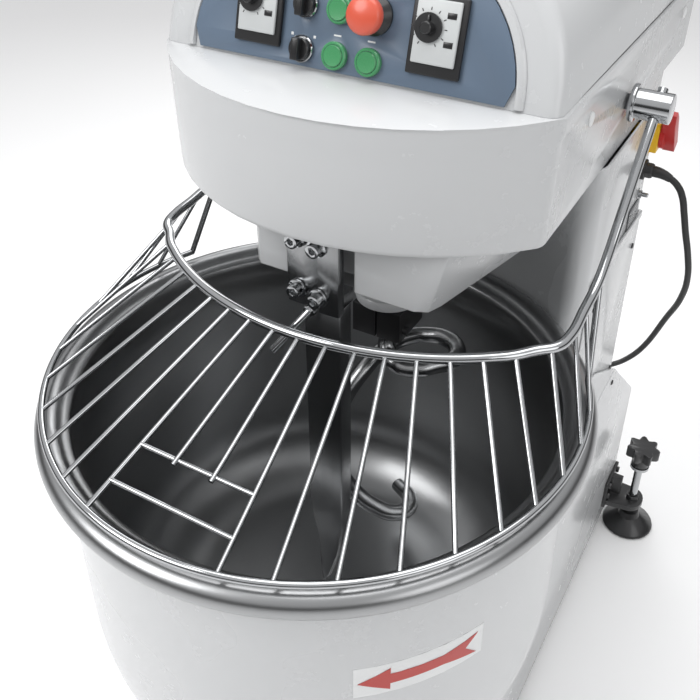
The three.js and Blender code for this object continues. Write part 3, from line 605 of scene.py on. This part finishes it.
# ---- stage and camera --------------------------------------------------------------------------
class MIXER_OT_stage(bpy.types.Operator):
    """Camera, pale floor, soft studio lights and a pale surround"""
    bl_idname = "mixer.stage"
    bl_label = "Stage"

    def execute(self, context):
        scene = context.scene
        camera = bpy.data.objects.new("camera", bpy.data.cameras.new("camera"))
        scene.collection.objects.link(camera)
        camera.data.sensor_width, camera.data.lens = 36.0, 46.723
        camera.data.shift_x, camera.data.shift_y = -0.0030, -0.1176
        right, up = Vector((0.868206, 0.496204, -0.000545)), Vector((-0.266500, 0.467220, 0.843021))
        forward = right.cross(up) * -1
        turn = Matrix((right, up, -forward)).transposed()
        camera.matrix_world = Matrix.Translation(spot(474.15, -743.68, 1541.95)) @ turn.to_4x4()
        camera.data.clip_start, camera.data.clip_end = 0.02, 60
        scene.camera = camera

        clear()
        bpy.ops.mesh.primitive_plane_add(size=24, location=(0, 0, 0))
        floor = named("floor")
        with editing(floor, "FACE"):
            bpy.ops.mesh.select_all(action="SELECT")
            bpy.ops.mesh.subdivide(number_cuts=4)
        kit = Finish("floor", Base_Color=(0.96, 0.96, 0.96, 1), Roughness=0.42)
        soft = kit.noise(3, 2)
        kit.feed("Roughness", soft * 0.06 + 0.4)
        floor.data.materials.append(kit.material)

        self.light("key", (-1.5, -2.1, 2.9), 2.0, 50, (0, 0, 0.7))
        self.light("fill", (2.7, -1.2, 1.9), 1.8, 13, (0, 0, 0.6))
        self.light("top", (0.1, 0.2, 3.4), 2.6, 40, (0, 0, 0.8))
        self.light("back", (-1.4, 2.6, 2.2), 1.8, 22, (0, 0, 0.9))

        world = bpy.data.worlds.new("studio")
        scene.world = world
        world.use_nodes = True
        tree = world.node_tree
        ground = tree.nodes["Background"]
        place = tree.nodes.new("ShaderNodeTexCoord")
        split = tree.nodes.new("ShaderNodeSeparateXYZ")
        ramp = tree.nodes.new("ShaderNodeValToRGB")
        stops = [(0.0, 0.60), (0.44, 0.70), (0.50, 0.06), (0.62, 0.10), (0.70, 0.80), (1.0, 0.95)]
        while len(ramp.color_ramp.elements) < len(stops):
            ramp.color_ramp.elements.new(0.5)
        for element, (at, grey) in zip(ramp.color_ramp.elements, stops):
            element.position, element.color = at, (grey, grey, grey * 1.01, 1)
        half = tree.nodes.new("ShaderNodeMapRange")
        half.inputs["From Min"].default_value = -1
        tree.links.new(place.outputs["Generated"], split.inputs[0])
        tree.links.new(split.outputs[2], half.inputs[0])
        tree.links.new(half.outputs[0], ramp.inputs[0])
        tree.links.new(ramp.outputs[0], ground.inputs["Color"])
        ground.inputs["Strength"].default_value = 0.85
        scene.view_settings.view_transform = "Standard"
        return {"FINISHED"}

    def light(self, name, place, size, power, aim):
        data = bpy.data.lights.new(name, "AREA")
        data.shape, data.size, data.energy = "DISK", size, power
        light = bpy.data.objects.new(name, data)
        bpy.context.scene.collection.objects.link(light)
        light.location = place
        light.rotation_euler = (Vector(aim) - Vector(place)).to_track_quat("-Z", "Y").to_euler()


# ---- mains cord --------------------------------------------------------------------------------
# the cord's route from the entry on the right side down behind the base, then its coil
ROUTE = [(265.4, 500, 952), (274, 500, 951.8), (289.5, 500.8, 946.6), (303, 502.6, 935.5),
         (311.6, 505, 919),
         (318, 509, 893), (325, 517, 858), (333, 528, 820), (339, 547, 768), (333, 580, 706), (312, 625,
                                                            630), (277, 673, 520),
         (249, 704, 462), (218, 742, 410), (184, 780, 362), (156, 812, 300), (138, 824, 210),
         (120, 833, 92), (103, 842, 42), (74, 843, 10)]
COIL_AT, COIL_R, COIL_TURNS = (40, 905), 52, 2.5


def cord_points():
    points = [spot(*p) for p in ROUTE]
    steps = 16
    for i in range(round(COIL_TURNS * steps) + 1):
        turn = i / steps
        angle = -math.pi / 2 - 2 * math.pi * turn
        # the first quarter turn closes in on the coil; each turn then lies on the one below
        reach = COIL_R + 13 * max(0, 1 - turn / 0.25) ** 2
        climb = turn % 1
        height = 6.0 + 10 * (int(turn) + max(0, climb - 0.75) / 0.25)
        points.append(spot(COIL_AT[0] + reach * math.cos(angle), COIL_AT[1] + reach * math.sin(angle),
                           height))
    points += [spot(COIL_AT[0] + 24, COIL_AT[1] + COIL_R, 23.6),
               spot(COIL_AT[0] + 44, COIL_AT[1] + COIL_R, 18.6), spot(COIL_AT[0] + 60, COIL_AT[1] + COIL_R,
                                                            17)]
    return points


def curve_length(piece):
    copy = piece.data.copy()
    copy.bevel_depth = 0
    probe = bpy.data.objects.new("probe", copy)
    bpy.context.scene.collection.objects.link(probe)
    mesh = probe.to_mesh()
    points = [v.co.copy() for v in mesh.vertices]
    total = sum((b - a).length for a, b in zip(points, points[1:]))
    bpy.data.objects.remove(probe)
    return total


class MIXER_OT_mains_cord(bpy.types.Operator):
    """Mains cord with its gland, tapered strain relief, coil tie and plug"""
    bl_idname = "mixer.mains_cord"
    bl_label = "Mains cord"

    def execute(self, context):
        sizes = context.scene.mixer_sizes
        cord = rope("mains_lead", cord_points(), sizes.cord_diameter / 2 / MM, sides=5)
        shown(cord, "frame", "rubber", "mains_cord", "cord_coil")

        relief = tube("strain_relief", [spot(262, 500, 952), spot(271, 500, 951.9), spot(281, 500.3, 949.9),
                                        spot(291, 500.9, 945.8)], 8.4, swell=[1.0, 0.96, 0.84, 0.68])
        done(relief, "frame", "rubber")

        nut = [(0, 0.4), (14.4, 0.4), (15.4, 1.4), (15.4, 6.6), (14.4, 7.6), (11.4, 7.8), (11.4, 14.5),
               (10.2, 17.6), (7.9, 18), (7.9, 15), (0, 15)]
        gland = turned("cord_gland", nut, 6, spot_turn(247.5, 500, 952))
        gland = rounded(gland, 0.8, 2, 40)
        done(gland, "frame", "black", "cable_gland")

        plug = self.plug()
        tie = tube("cord_tie", [spot(COIL_AT[0] + COIL_R + dx, COIL_AT[1], z) for dx, z in
                                ((-6.6, 1.6), (-6.9, 13), (-6.4, 27), (0, 32.2), (6.4, 27), (6.9, 13),
                                 (6.6, 1.6),
                                 (0, 0.9))], 0.8, cyclic=True)
        tie = placed(tie, Matrix.Translation((0, 0, 0.0004)))
        done(tie, "frame", "knob_black")
        spot(*ROUTE[0])
        round(curve_length(cord), 2)
        return {"FINISHED"}

    def plug(self):
        x, y = COIL_AT[0] + 66, COIL_AT[1] + COIL_R
        body = block("plug", (x, y - 21, 0.6), (x + 38, y + 21, 34), 5, segments=4)
        with editing(body, "FACE"):
            pick(body, "faces", lambda f: f.normal.z > 0.99 and f.calc_area() > 1e-4)
            bpy.ops.mesh.inset(thickness=0.006)
            bpy.ops.transform.translate(value=(0, 0, -0.0022))
        nose = turned("nose", [(0, -12), (6.6, -12), (8.4, -8), (10.5, 0), (11, 2), (0, 2)], 32,
                      spot_turn(x, y, 17))
        ribs = [turned("rib", [(7.2, -11), (9.6, -10.6), (9.6, -9.4), (7.2, -9)], 32,
                       spot_turn(x + k * 3.4, y, 17))
                for k in range(3)]
        body = joined("plug", [body, nose, *ribs])
        pins = joined("plug_pins", [turned("pin", [(0, 37), (2.4, 37), (2.4, 55), (1.6, 56.6), (0, 57)], 24,
                                           spot_turn(x, y + d, 17)) for d in (-9.5, 9.5)])
        done(pins, "frame", "chrome")
        return done(body, "frame", "black", "mains_plug")


def spot_turn(x, y, z, side=1):
    """Place for a turned piece whose axis lies along x; side -1 turns it the other way."""
    return Matrix.Translation(spot(x, y, z)) @ Matrix.Rotation(side * math.pi / 2, 4, "Y")


# ---- base --------------------------------------------------------------------------------------
class MIXER_OT_base(bpy.types.Operator):
    """Base housing, its floor plate, deck seam and cover screws"""
    bl_idname = "mixer.base"
    bl_label = "Base"

    def execute(self, context):
        base = recut("base_shell", "base_housing", 3.0, 3, 28)
        done(base, "frame", "white_paint", "base_housing", angle=26)
        dress("dark_paint", "base_floor_plate")
        ring = turned("deck_ring", [(206, 352.1), (224, 352.1), (224, 353.2), (220, 354.6), (206, 354.6),
                                    (206, 352.1)],
                      context.scene.mixer_sizes.round_faces)
        done(ring, "frame", "dark_paint")
        screws = []
        for side in (-1, 1):
            for x, y, z in ((257.2, 548, 520), (250.2, 540, 556), (250.2, 530, 806), (250.2, 330, 806)):
                screws.append(screw_head("screw", side * x, y, z, 4.6, side))
        done(joined("cover_screws", screws), "frame", "dark_paint")
        return {"FINISHED"}


def screw_head(name, x, y, z, radius, side):
    """A domed cross-head screw on a side face."""
    head = turned(name, [(0, -2), (radius, -2), (radius, 0.6), (radius * 0.86, 1.6), (radius * 0.5, 2.3),
                         (0, 2.5)],
                  24, spot_turn(x, y, z, side))
    return head


# ---- drum and its turning arrow ----------------------------------------------------------------
class MIXER_OT_drum(bpy.types.Operator):
    """Painted drum round the bowl, with the label that shows which way the bowl turns"""
    bl_idname = "mixer.drum"
    bl_label = "Drum"

    def execute(self, context):
        deck, wall, top = 352.4, 316, RIM_Z - 30
        outer = [(150, deck), (212, deck), (216, deck + 0.5), (222, deck + 2)]
        # the foot swells out in one soft curve from the deck to the upright wall
        for i in range(1, 15):
            t = i / 15
            angle = t * math.pi / 2
            outer.append((232 + (wall - 232) * math.sin(angle) ** 0.82,
                          356 + 186 * (1 - math.cos(angle)) ** 0.92))
        outer += [(wall, 545), (wall, 640), (wall, top - 1.5), (wall - 1, top), (wall - 4, top)]
        inner = [(r - 4, z + 3) for r, z in outer[3:-5]][::-1]
        profile = outer + [(wall - 4, 545)] + inner + [(150, deck + 4), (150, deck)]
        drum = turned("drum", profile, context.scene.mixer_sizes.round_faces)
        done(drum, "frame", "white_paint", "bowl_drum")
        self.label(wall)
        return {"FINISHED"}

    def label(self, wall):
        def bent(points, lift, name, look, thick=0.25):
            """A flat outline of (degrees round the drum, height) points, wrapped on its wall."""
            piece = plate(name, [(a, z) for a, z in points], 0, thick, 0, Matrix.Identity(4))
            with editing(piece, "FACE"):
                bpy.ops.mesh.select_all(action="SELECT")
                bpy.ops.mesh.quads_convert_to_tris()
                bpy.ops.mesh.subdivide(number_cuts=5)
            for vertex in piece.data.vertices:
                degrees, z, out = vertex.co / MM
                angle, reach = math.radians(degrees), wall + lift + out
                vertex.co = spot(reach * math.sin(angle), -reach * math.cos(angle), z)
            with editing(piece, "FACE"):
                bpy.ops.mesh.select_all(action="SELECT")
                bpy.ops.mesh.normals_make_consistent(inside=False)
            return done(piece, "frame", look)

        bent([(37.6, 637), (65.6, 637), (65.6, 686), (37.6, 686)], 0.1, "turn_label", "label_white")
        middle = 660
        shaft = [(44.9, middle + 8), (56.2, middle + 8), (64.2, middle + 17), (61.3, middle),
                 (64.2, middle - 17),
                 (56.2, middle - 8), (44.9, middle - 8), (44.9, middle - 18), (38.4, middle), (44.9,
                                                            middle + 18)]
        bent(shaft, 0.4, "turn_arrow", "arrow_red")


# ---- column ------------------------------------------------------------------------------------
class MIXER_OT_column(bpy.types.Operator):
    """Column, its rear cover, the rating plate and the earth bolt"""
    bl_idname = "mixer.column"
    bl_label = "Column"

    def execute(self, context):
        done(recut("column", "column_shell", 2.0, 3, 40), "frame", "white_paint", "column_shell", angle=30)
        done(recut("rear_cover", "column_rear_cover", 1.1, 2, 40), "frame", "white_paint",
             "column_rear_cover")
        lip = []
        for side in (-1, 1):
            strip = block("lip", (min(side * 249.2, side * 252.4), 294, 856),
                          (max(side * 249.2, side * 252.4), 550, 868),
                          1.4)
            with editing(strip):
                pick(strip, "verts", lambda v: v.co.y > BOWL_Y + 0.42)
                bpy.ops.transform.translate(value=(0, 0, -0.007))
            lip.append(strip)
        done(joined("cover_lip", lip), "frame", "white_paint")

        rating = block("rating_plate", (247.7, 468, 846), (248.9, 524, 896), 0.3)
        layer = rating.data.uv_layers.new(name="flat") if not rating.data.uv_layers else rating.data.uv_layers[0]
        for loop in rating.data.loops:
            place = rating.data.vertices[loop.vertex_index].co
            layer.data[loop.index].uv = ((place.y - spot(0, 468, 0).y) / 0.056, (place.z - 0.846) / 0.050)
        done(rating, "frame", "rating")
        bolt = turned("earth_bolt", [(0, 0.2), (8, 0.2), (8, 1.6), (5.6, 1.8), (5.6, 6), (3.4, 6.2),
                                     (3.4, 14), (2.4, 15.4),
                                     (0, 15.6)], 24, spot_turn(247.5, 512, 906))
        done(bolt, "frame", "chrome")
        return {"FINISHED"}


# ---- head --------------------------------------------------------------------------------------
def hood_arch(half, high, n=72, power=2.35):
    """Rounded arch over the head: a superellipse from one side to the other."""
    points = []
    for i in range(n + 1):
        a = math.pi * i / n
        c, s = math.cos(a), math.sin(a)
        points.append((half * math.copysign(abs(c) ** (2 / power), c), high * abs(s) ** (2 / power)))
    return points


class MIXER_OT_head(bpy.types.Operator):
    """Head: skirt with its rounded ledge, and the arched hood with its flat sloping front"""
    bl_idname = "mixer.head"
    bl_label = "Head"

    def execute(self, context):
        self.skirt()
        self.hood()
        dress("white_paint", "head_floor")
        screws = []
        for side in (-1, 1):
            for y in (176, 615):
                screws.append(screw_head("plug", side * 245.4, y, 1150, 8.5, side))
        done(joined("head_plugs", screws), "frame", "label_white")
        return {"FINISHED"}

    def skirt(self):
        done(recut("head_shell", "head_skirt", 1.0, 2, 40), "frame", "white_paint", "head_skirt", angle=38)

    def hood(self):
        rear = HEAD_REAR
        hood = recut("hood", "head_hood", 0, 2, 40)
        seam = tube("hood_seam", [spot(x, y, LEDGE_Z + 0.6) for x, y in
                                  ((-243, 90), (-243.6, 300), (-243.6, 500), (-243, rear - 16),
                                   (0, rear - 0.6),
                                   (243, rear - 16), (243.6, 500), (243.6, 300), (243,
                                                            90))], 0.9, kind="POLY")
        done(hood, "frame", "white_paint", "head_hood", angle=40)
        done(seam, "frame", "dark_paint")
        # raised white border round the control panel
        inner, outer = hood_arch(196.4, 158.4, 96, 2.2), hood_arch(204, 166, 96, 2.2)
        ring = [inner, [(x * 1.006, z * 1.006) for x, z in inner], outer, [(x * 1.012, z * 1.012) for x,
                                                            z in outer]]
        heights = (0.2, 3.9, 3.4, 0.0)
        border = surface("panel_border", 96, 3, lambda i, j: (ring[j][i][0], max(ring[j][i][1], 0.4) + 0.6,
                                                            heights[j]))
        border = capped(applied(placed(border, FACE), "SOLIDIFY", thickness=0.0006, offset=1))
        done(border, "frame", "white_paint", angle=50)


# ---- gear housing ------------------------------------------------------------------------------
class MIXER_OT_gear_housing(bpy.types.Operator):
    """Painted housing under the head that holds the hook's shaft"""
    bl_idname = "mixer.gear_housing"
    bl_label = "Gear housing"

    def execute(self, context):
        done(recut("gear_box", "gear_housing", 3.2, 3, 35), "frame", "white_paint", "gear_housing",
             angle=36)
        neck = turned("neck_ring", [(27, 861), (41, 861), (43.6, 863), (44.4, 868), (43.6, 873), (42, 875),
                                    (42, 880), (27, 880)],
                      72, SHIFT @ Matrix.Translation((HOOK[0] * MM, HOOK[1] * MM, 0)))
        done(neck, "frame", "white_paint")
        return {"FINISHED"}


# ---- bowl --------------------------------------------------------------------------------------
class MIXER_OT_bowl(bpy.types.Operator):
    """Turning stainless bowl with its rolled rim and the stepped band inside it"""
    bl_idname = "mixer.bowl"
    bl_label = "Bowl"

    def execute(self, context):
        sizes = context.scene.mixer_sizes
        rim, roll, wall, corner, deep = sizes.rim_radius / MM, 16.15, 296, 110, 412
        floor = RIM_Z - deep
        bend = [math.pi / 2 * i / 14 for i in range(1, 15)]
        inside = [(0, floor), (wall - corner, floor)]
        inside += [(wall - corner + corner * math.sin(a), floor + corner * (1 - math.cos(a))) for a in bend]
        inside += [(wall, RIM_Z - 200), (wall, RIM_Z - 60), (wall + 0.4, RIM_Z - 24),
                   (wall + 1.6, RIM_Z - 21),
                   (wall + 2.4, RIM_Z - 12), (wall + 3.4, RIM_Z - 8), (wall + 3.8, RIM_Z), (wall + 6,
                                                            RIM_Z + 3.2),
                   (wall + 11, RIM_Z + 5.6)]
        start, sweep = math.pi * 0.84, math.pi * 1.7
        around = [(rim + roll * math.cos(start - sweep * i / 26),
                   RIM_Z + roll * math.sin(start - sweep * i / 26))
                  for i in range(27)]
        skin = corner + 3
        outside = [(wall + 4, RIM_Z - 26), (wall + 3, RIM_Z - 60)]
        outside += [(wall - corner + skin * math.sin(a),
                     floor + corner - skin * math.cos(a)) for a in reversed(bend)]
        bowl = turned("bowl_skin", inside + around + outside + [(wall - corner, floor - 3), (0, floor - 3)],
                      sizes.round_faces)
        done(bowl, "turning_bowl", "bowl_steel", "bowl", angle=38)
        return {"FINISHED"}


# ---- spiral hook -------------------------------------------------------------------------------
HOOK_PATH = [(20, 148, 28), (20, 148, 0), (20, 148, -18), (24, 140, -34), (46, 128, -42), (74, 138, -45),
             (89, 153, -44), (104, 176, -47), (100, 207, -51), (75, 231, -56), (41, 236, -64), (12, 225,
                                                            -72),
             (-10, 202, -84), (-27, 158, -108), (-40, 125, -145), (-48, 110, -190), (-38, 102, -240),
             (-9, 104, -288), (25, 112, -314), (48, 125, -327), (61, 149, -334), (52, 175, -339), (21, 195,
                                                            -343)]


class MIXER_OT_spiral(bpy.types.Operator):
    """Driven spiral hook and the split hub that clamps it"""
    bl_idname = "mixer.spiral"
    bl_label = "Spiral hook"

    def execute(self, context):
        rod = context.scene.mixer_sizes.hook_rod / MM
        swell = [1.0] * (len(HOOK_PATH) - 1) + [0.86]
        hook = tube("spiral", [spot(x, y, RIM_Z + z) for x, y, z in HOOK_PATH], rod - 0.1, sides=8,
                    swell=swell)
        done(hook, "spiral", "bar_steel", "spiral_hook", angle=50)
        done(recut("hub", "spiral_hub", 1.8, 3, 35), "spiral", "hub_black", "spiral_hub")
        return {"FINISHED"}


# ---- breaker bar -------------------------------------------------------------------------------
class MIXER_OT_breaker_bar(bpy.types.Operator):
    """Fixed breaker bar with its bracket, socket-head bolts and deflector pin"""
    bl_idname = "mixer.breaker_bar"
    bl_label = "Breaker bar"

    def execute(self, context):
        done(recut("breaker", "breaker_bar", 2.0, 3, 34), "frame", "bar_steel", "breaker_bar")
        done(recut("bracket", "breaker_bracket", 1.0, 2, 34), "frame", "bar_steel", "breaker_bracket")
        done(recut("pin", "deflector_pin", 0.7, 2, 40), "frame", "chrome", "deflector_pin", angle=40)
        for i in range(1, 5):
            done(recut(f"bolt_{i}", f"bracket_bolt_{i}", 0.7, 2, 34), "frame", "chrome",
                 f"bracket_bolt_{i}")
        return {"FINISHED"}


# ---- guard -------------------------------------------------------------------------------------
ARM_PATH = [(256, 43, 119), (275, 62, 119.5), (281, 84, 121), (281, 132, 126), (281, 178, 136),
            (281, 205, 154),
            (281, 250, 200), (281, 346, 300), (281, 363, 317.5)]
# where each thin wire meets the upper bar and the lower ring, in degrees from the front
WIRES = [(7.8, 14.6), (13, 24.1), (18.2, 34.6), (23.5, 45.1), (29, 55.3), (34.5, 65.1), (40.1, 74.2)]


def arc_point(degrees):
    a = math.radians(degrees)
    return spot(372 * math.sin(a), 309 - 372 * math.cos(a), 929)


def ring_point(degrees):
    a = math.radians(degrees)
    return spot(328 * math.sin(a), -328 * math.cos(a), 839)


class MIXER_OT_guard(bpy.types.Operator):
    """Hinged wire guard over the bowl, with its two pivot bosses"""
    bl_idname = "mixer.guard"
    bl_label = "Guard"

    def execute(self, context):
        thin = context.scene.mixer_sizes.guard_wire / MM
        arms = [[spot(s * x, y, RIM_Z + z) for x, y, z in ARM_PATH] for s in (-1, 1)]
        arc = [arc_point(-43.5 + 87 * i / 24) for i in range(1, 24)]
        bars = [tube("bar", arms[0][::-1] + arc + arms[1], 6.4, sides=6),
                tube("bar", [ring_point(-114.2 + 228.4 * i / 40) for i in range(41)], 4.1, sides=5)]

        def wire(a, b, radius=thin):
            bars.append(tube("wire", [a, b], radius, kind="POLY"))
        for s in (-1, 1):
            wire(arc_point(s * 2.5), arc_point(s * 2.5).lerp(ring_point(s * 4.9), 0.69))
            for top, low in WIRES:
                wire(arc_point(s * top), ring_point(s * low))
            wire(spot(s * 270, 55, 929), ring_point(s * 83.8))
            wire(spot(s * 281, 101, 932), ring_point(s * 93.5))
            wire(spot(s * 281, 140, 937), ring_point(s * 103.8))
            wire(spot(s * 281, 190, 952), ring_point(s * 114), 4.1)
        left, right = [(arc_point(s * 7.8), ring_point(s * 14.6)) for s in (-1, 1)]
        for k in (0.69, 0.863):
            wire(left[0].lerp(left[1], k), right[0].lerp(right[1], k))
        done(joined("guard", bars), "guard", "chrome", "guard_grille", angle=50)
        for tag in ("left", "right"):
            done(recut(f"boss_{tag}", f"guard_boss_{tag}", 1.4, 3, 40), "guard", "chrome",
                 f"guard_boss_{tag}")
        return {"FINISHED"}


# ---- control panel -----------------------------------------------------------------------------
def on_panel(x, s, n=0):
    return FACE @ Matrix.Translation((x * MM, s * MM, n * MM))


class MIXER_OT_panel(bpy.types.Operator):
    """Sloping blue control panel with its bezels and plain printed marks"""
    bl_idname = "mixer.panel"
    bl_label = "Control panel"

    def execute(self, context):
        done(recut("panel", "control_panel", 0.3, 2, 34), "frame", "panel", "control_panel")
        rings = [turned("bezel", [(11.75, 3.6), (15.1, 3.6), (15.1, 8), (14, 9.3), (12.2, 9.3),
                                  (11.75, 8.7), (11.75, 3.6)],
                        48, on_panel(x, s)) for x, s in ((-8, 67), (-8, 19), (33, 19))]
        done(joined("button_bezels", rings), "frame", "green")
        marks = []

        def bar(x, s, wide, high):
            marks.append(block("mark", (x - wide / 2, s - high / 2, 3.2), (x + wide / 2, s + high / 2,
                                                            3.45), 0.05, FACE))
        for x, s in ((-50, 20), (-50, 67)):
            for angle in (-45, 45):
                a = math.radians(angle)
                bar(x + 20 * math.sin(a), s + 20 * math.cos(a), 3, 3)
        for x, s in ((-8, 67), (-8, 19), (33, 19)):
            bar(x, s + 21, 9, 1.8)
        for side in (-1, 1):
            bar(side * 107, 104, 26, 2.2)
        bar(0, 128, 64, 3.2)
        bar(0, 119, 40, 1.8)
        done(joined("panel_marks", marks), "frame", "print_white")
        return {"FINISHED"}


class MIXER_OT_timers(bpy.types.Operator):
    """Two timers: black frame, pale face, dial disc and pointer knob"""
    bl_idname = "mixer.timers"
    bl_label = "Timers"

    def execute(self, context):
        for tag, side in (("fast", -1), ("slow", 1)):
            x, s = side * 107, 57
            frame_part = block("timer_frame", (x - 29.8, s - 39.8, 3.6), (x + 29.8, s + 39.8, 8.9), 1.6,
                               FACE, 3)
            done(frame_part, "frame", "black", f"timer_{tag}_body")
            frame_part.name = frame_part.data.name = f"timer_{tag}_frame"
            face = block("timer_face", (x - 24, s - 28, 8.7), (x + 24, s + 36, 12.4), 1.4, FACE, 3)
            face.name = face.data.name = f"timer_{tag}_face"
            done(face, "frame", "silver")
            parts = [block("window", (x + 10, s + v - 3, 12.2), (x + 20, s + v + 3, 12.8), 0.2,
                           FACE) for v in (22, -6)]
            for i in range(11):
                a = math.radians(-150 + 30 * i)
                mark = block("tick", (-0.5, 17, 12.2), (0.5, 20, 12.7), 0.1, on_panel(x - 8, s + 8) @
                             Matrix.Rotation(a, 4, "Z"))
                parts.append(mark)
            done(joined(f"timer_{tag}_marks", parts), "frame", "knob_black")
            disc = [(0, 13.4), (14.9, 13.4), (14.9, 15.2), (7, 15.2), (6.9, 15.4), (6.2, 22), (5.2, 22.9),
                    (0, 22.9)]
            knob = turned("knob", disc, 40, on_panel(x - 8, s + 8))
            pointer = block("pointer", (-1.2, 0.5, 15.2), (1.2, 12.5, 17.2), 0.4, on_panel(x - 8, s + 8))
            done(joined(f"timer_{tag}_knob", [knob, pointer]), f"timer_{tag}_knob", "knob_black",
                 f"timer_{tag}_dial")
        return {"FINISHED"}


class MIXER_OT_controls(bpy.types.Operator):
    """Two selectors, three green buttons and the stop button"""
    bl_idname = "mixer.controls"
    bl_label = "Selectors and buttons"

    def execute(self, context):
        for tag, s in (("direction", 20), ("speed", 67)):
            ring = [(11.7, 3.6), (14.9, 3.6), (14.9, 6.6), (14, 7.9), (11.9, 7.9), (11.7, 7.4), (11.7, 3.6)]
            done(turned(f"{tag}_ring", ring, 48, on_panel(-50, s)), "frame", "chrome",
                 f"selector_{tag}_ring")
            knob = turned("knob", [(0, 8.4), (12.5, 8.4), (12.5, 11.8), (11.4, 13.1), (0, 13.2)], 48,
                          on_panel(-50, s))
            lever = block("lever", (-4.4, -11.9, 12.2), (4.4, 11.9, 21.8), 1.5, on_panel(-50, s), 3)
            done(joined(f"{tag}_knob", [knob, lever]), f"{tag}_selector", "knob_black",
                 f"selector_{tag}_knob")
        cap = [(0, 4.1), (11.5, 4.1), (11.5, 9.6), (10.6, 10.8), (8, 10.6), (0, 10.3)]
        for tag, x, s in (("fast", -8, 67), ("slow", -8, 19), ("jog", 33, 19)):
            piece = turned(f"{tag}_cap", cap, 48, on_panel(x, s))
            done(piece, f"{tag}_button", "green", f"button_{tag}_cap")
        collar = [(10.6, 3.6), (20.9, 3.6), (20.9, 6.6), (15.2, 13.2), (14.6, 13.9), (10.6, 13.9),
                  (10.6, 3.6)]
        done(turned("stop_base", collar, 56, on_panel(33, 67)), "frame", "knob_black", "stop_collar")
        head = [(0, 20.1), (16.6, 20.1), (19.2, 21.9), (19.9, 23.4), (19.9, 29.6), (18.6, 32.2),
                (16.4, 33.8), (9, 36),
                (0, 36.8)]
        cap = turned("stop_head", head, 56, on_panel(33, 67))
        stem = turned("stem", [(0, 7), (9, 7), (9, 20.4), (0, 20.4)], 32, on_panel(33, 67))
        done(joined("stop_head", [cap, stem]), "stop_push", "red", "stop_button")
        return {"FINISHED"}


class MIXER_OT_switch(bpy.types.Operator):
    """Mains switch on the right side: yellow body and red turning handle"""
    bl_idname = "mixer.switch"
    bl_label = "Mains switch"

    def execute(self, context):
        done(recut("switch_body", "main_switch_body", 1.2, 3, 34), "frame", "yellow", "main_switch_body")
        done(recut("switch_grip", "main_switch_handle", 1.2, 3, 34), "switch_handle", "switch_red",
             "main_switch_handle")
        return {"FINISHED"}


# ---- feet and wheels ---------------------------------------------------------------------------
class MIXER_OT_feet(bpy.types.Operator):
    """Screw-down rear feet, front wheels and their axle"""
    bl_idname = "mixer.feet"
    bl_label = "Feet and wheels"

    def execute(self, context):
        for tag, side in (("left", -1), ("right", 1)):
            x, y = side * 311, 754
            done(recut(f"foot_{tag}_arm", f"foot_bracket_{tag}", 1.0, 2, 34), "frame", "foot_paint",
                 f"foot_bracket_{tag}")
            done(recut(f"foot_{tag}_star", f"foot_screw_{tag}", 0.9, 2, 38), f"foot_{tag}", "knob_black",
                 f"foot_screw_{tag}")
            axis = SHIFT @ Matrix.Translation((x * MM, y * MM, 0))
            rods = [turned("rod", [(7.4, a), (8.2, a), (8.2, b), (7.4, b), (7.4, a)], 40, axis) for a,
                    b in ((41, 61), (87, 165.6))]
            rods.append(turned("washer", [(8, 166), (19, 166), (19, 172.4), (8, 172.4), (8, 166)], 40,
                               axis))
            done(joined(f"foot_{tag}_rod", rods), f"foot_{tag}", "chrome")
            done(recut(f"wheel_{tag}_tyre", f"front_wheel_{tag}", 1.0, 2, 34), f"wheel_{tag}", "rubber",
                 f"front_wheel_{tag}")
        dress("chrome", "front_axle")
        return {"FINISHED"}


# ---- hidden drive ------------------------------------------------------------------------------
class MIXER_OT_drive(bpy.types.Operator):
    """Motors, belts, pulleys and shafts inside the base and head"""
    bl_idname = "mixer.drive"
    bl_label = "Drive"

    def execute(self, context):
        dress("motor_paint", "bowl_motor", "spiral_motor")
        dress("rubber", "bowl_belt", "spiral_belt")
        dress("cast", "bowl_pulley", "spiral_pulley", "bowl_motor_pulley", "spiral_motor_pulley",
              "bowl_bearing_block")
        dress("steel", "bowl_shaft", "spiral_shaft")
        return {"FINISHED"}


# ---- sidebar panel and registration ------------------------------------------------------------
STEPS = (MIXER_OT_stage, MIXER_OT_mains_cord, MIXER_OT_base, MIXER_OT_drum, MIXER_OT_bowl, MIXER_OT_column,
         MIXER_OT_head, MIXER_OT_gear_housing, MIXER_OT_spiral, MIXER_OT_breaker_bar, MIXER_OT_guard,
         MIXER_OT_panel, MIXER_OT_timers, MIXER_OT_controls, MIXER_OT_switch, MIXER_OT_feet, MIXER_OT_drive)


class MIXER_PT_sidebar(bpy.types.Panel):
    bl_label = "Spiral dough mixer"
    bl_idname = "MIXER_PT_sidebar"
    bl_space_type = "VIEW_3D"
    bl_region_type = "UI"
    bl_category = "Mixer"

    def draw(self, context):
        scene = context.scene
        for group in (scene.mixer_sizes, scene.mixer_colours):
            box = self.layout.box()
            for key in group.bl_rna.properties.keys():
                if key not in ("rna_type", "name"):
                    box.prop(group, key)
        for step in STEPS:
            self.layout.operator(step.bl_idname)


CLASSES = (MixerSizes, MixerColours, *STEPS, MIXER_PT_sidebar)


def register():
    for item in CLASSES:
        bpy.utils.register_class(item)
    bpy.types.Scene.mixer_sizes = PointerProperty(type=MixerSizes)
    bpy.types.Scene.mixer_colours = PointerProperty(type=MixerColours)


def unregister():
    del bpy.types.Scene.mixer_colours
    del bpy.types.Scene.mixer_sizes
    for item in reversed(CLASSES):
        bpy.utils.unregister_class(item)


def main():
    register()
    for step in STEPS:
        group, name = step.bl_idname.split(".")
        result = getattr(getattr(bpy.ops, group), name)()
        if "FINISHED" not in result:
            raise RuntimeError(f"{step.bl_label} did not finish")


if __name__ == "__main__":
    main()
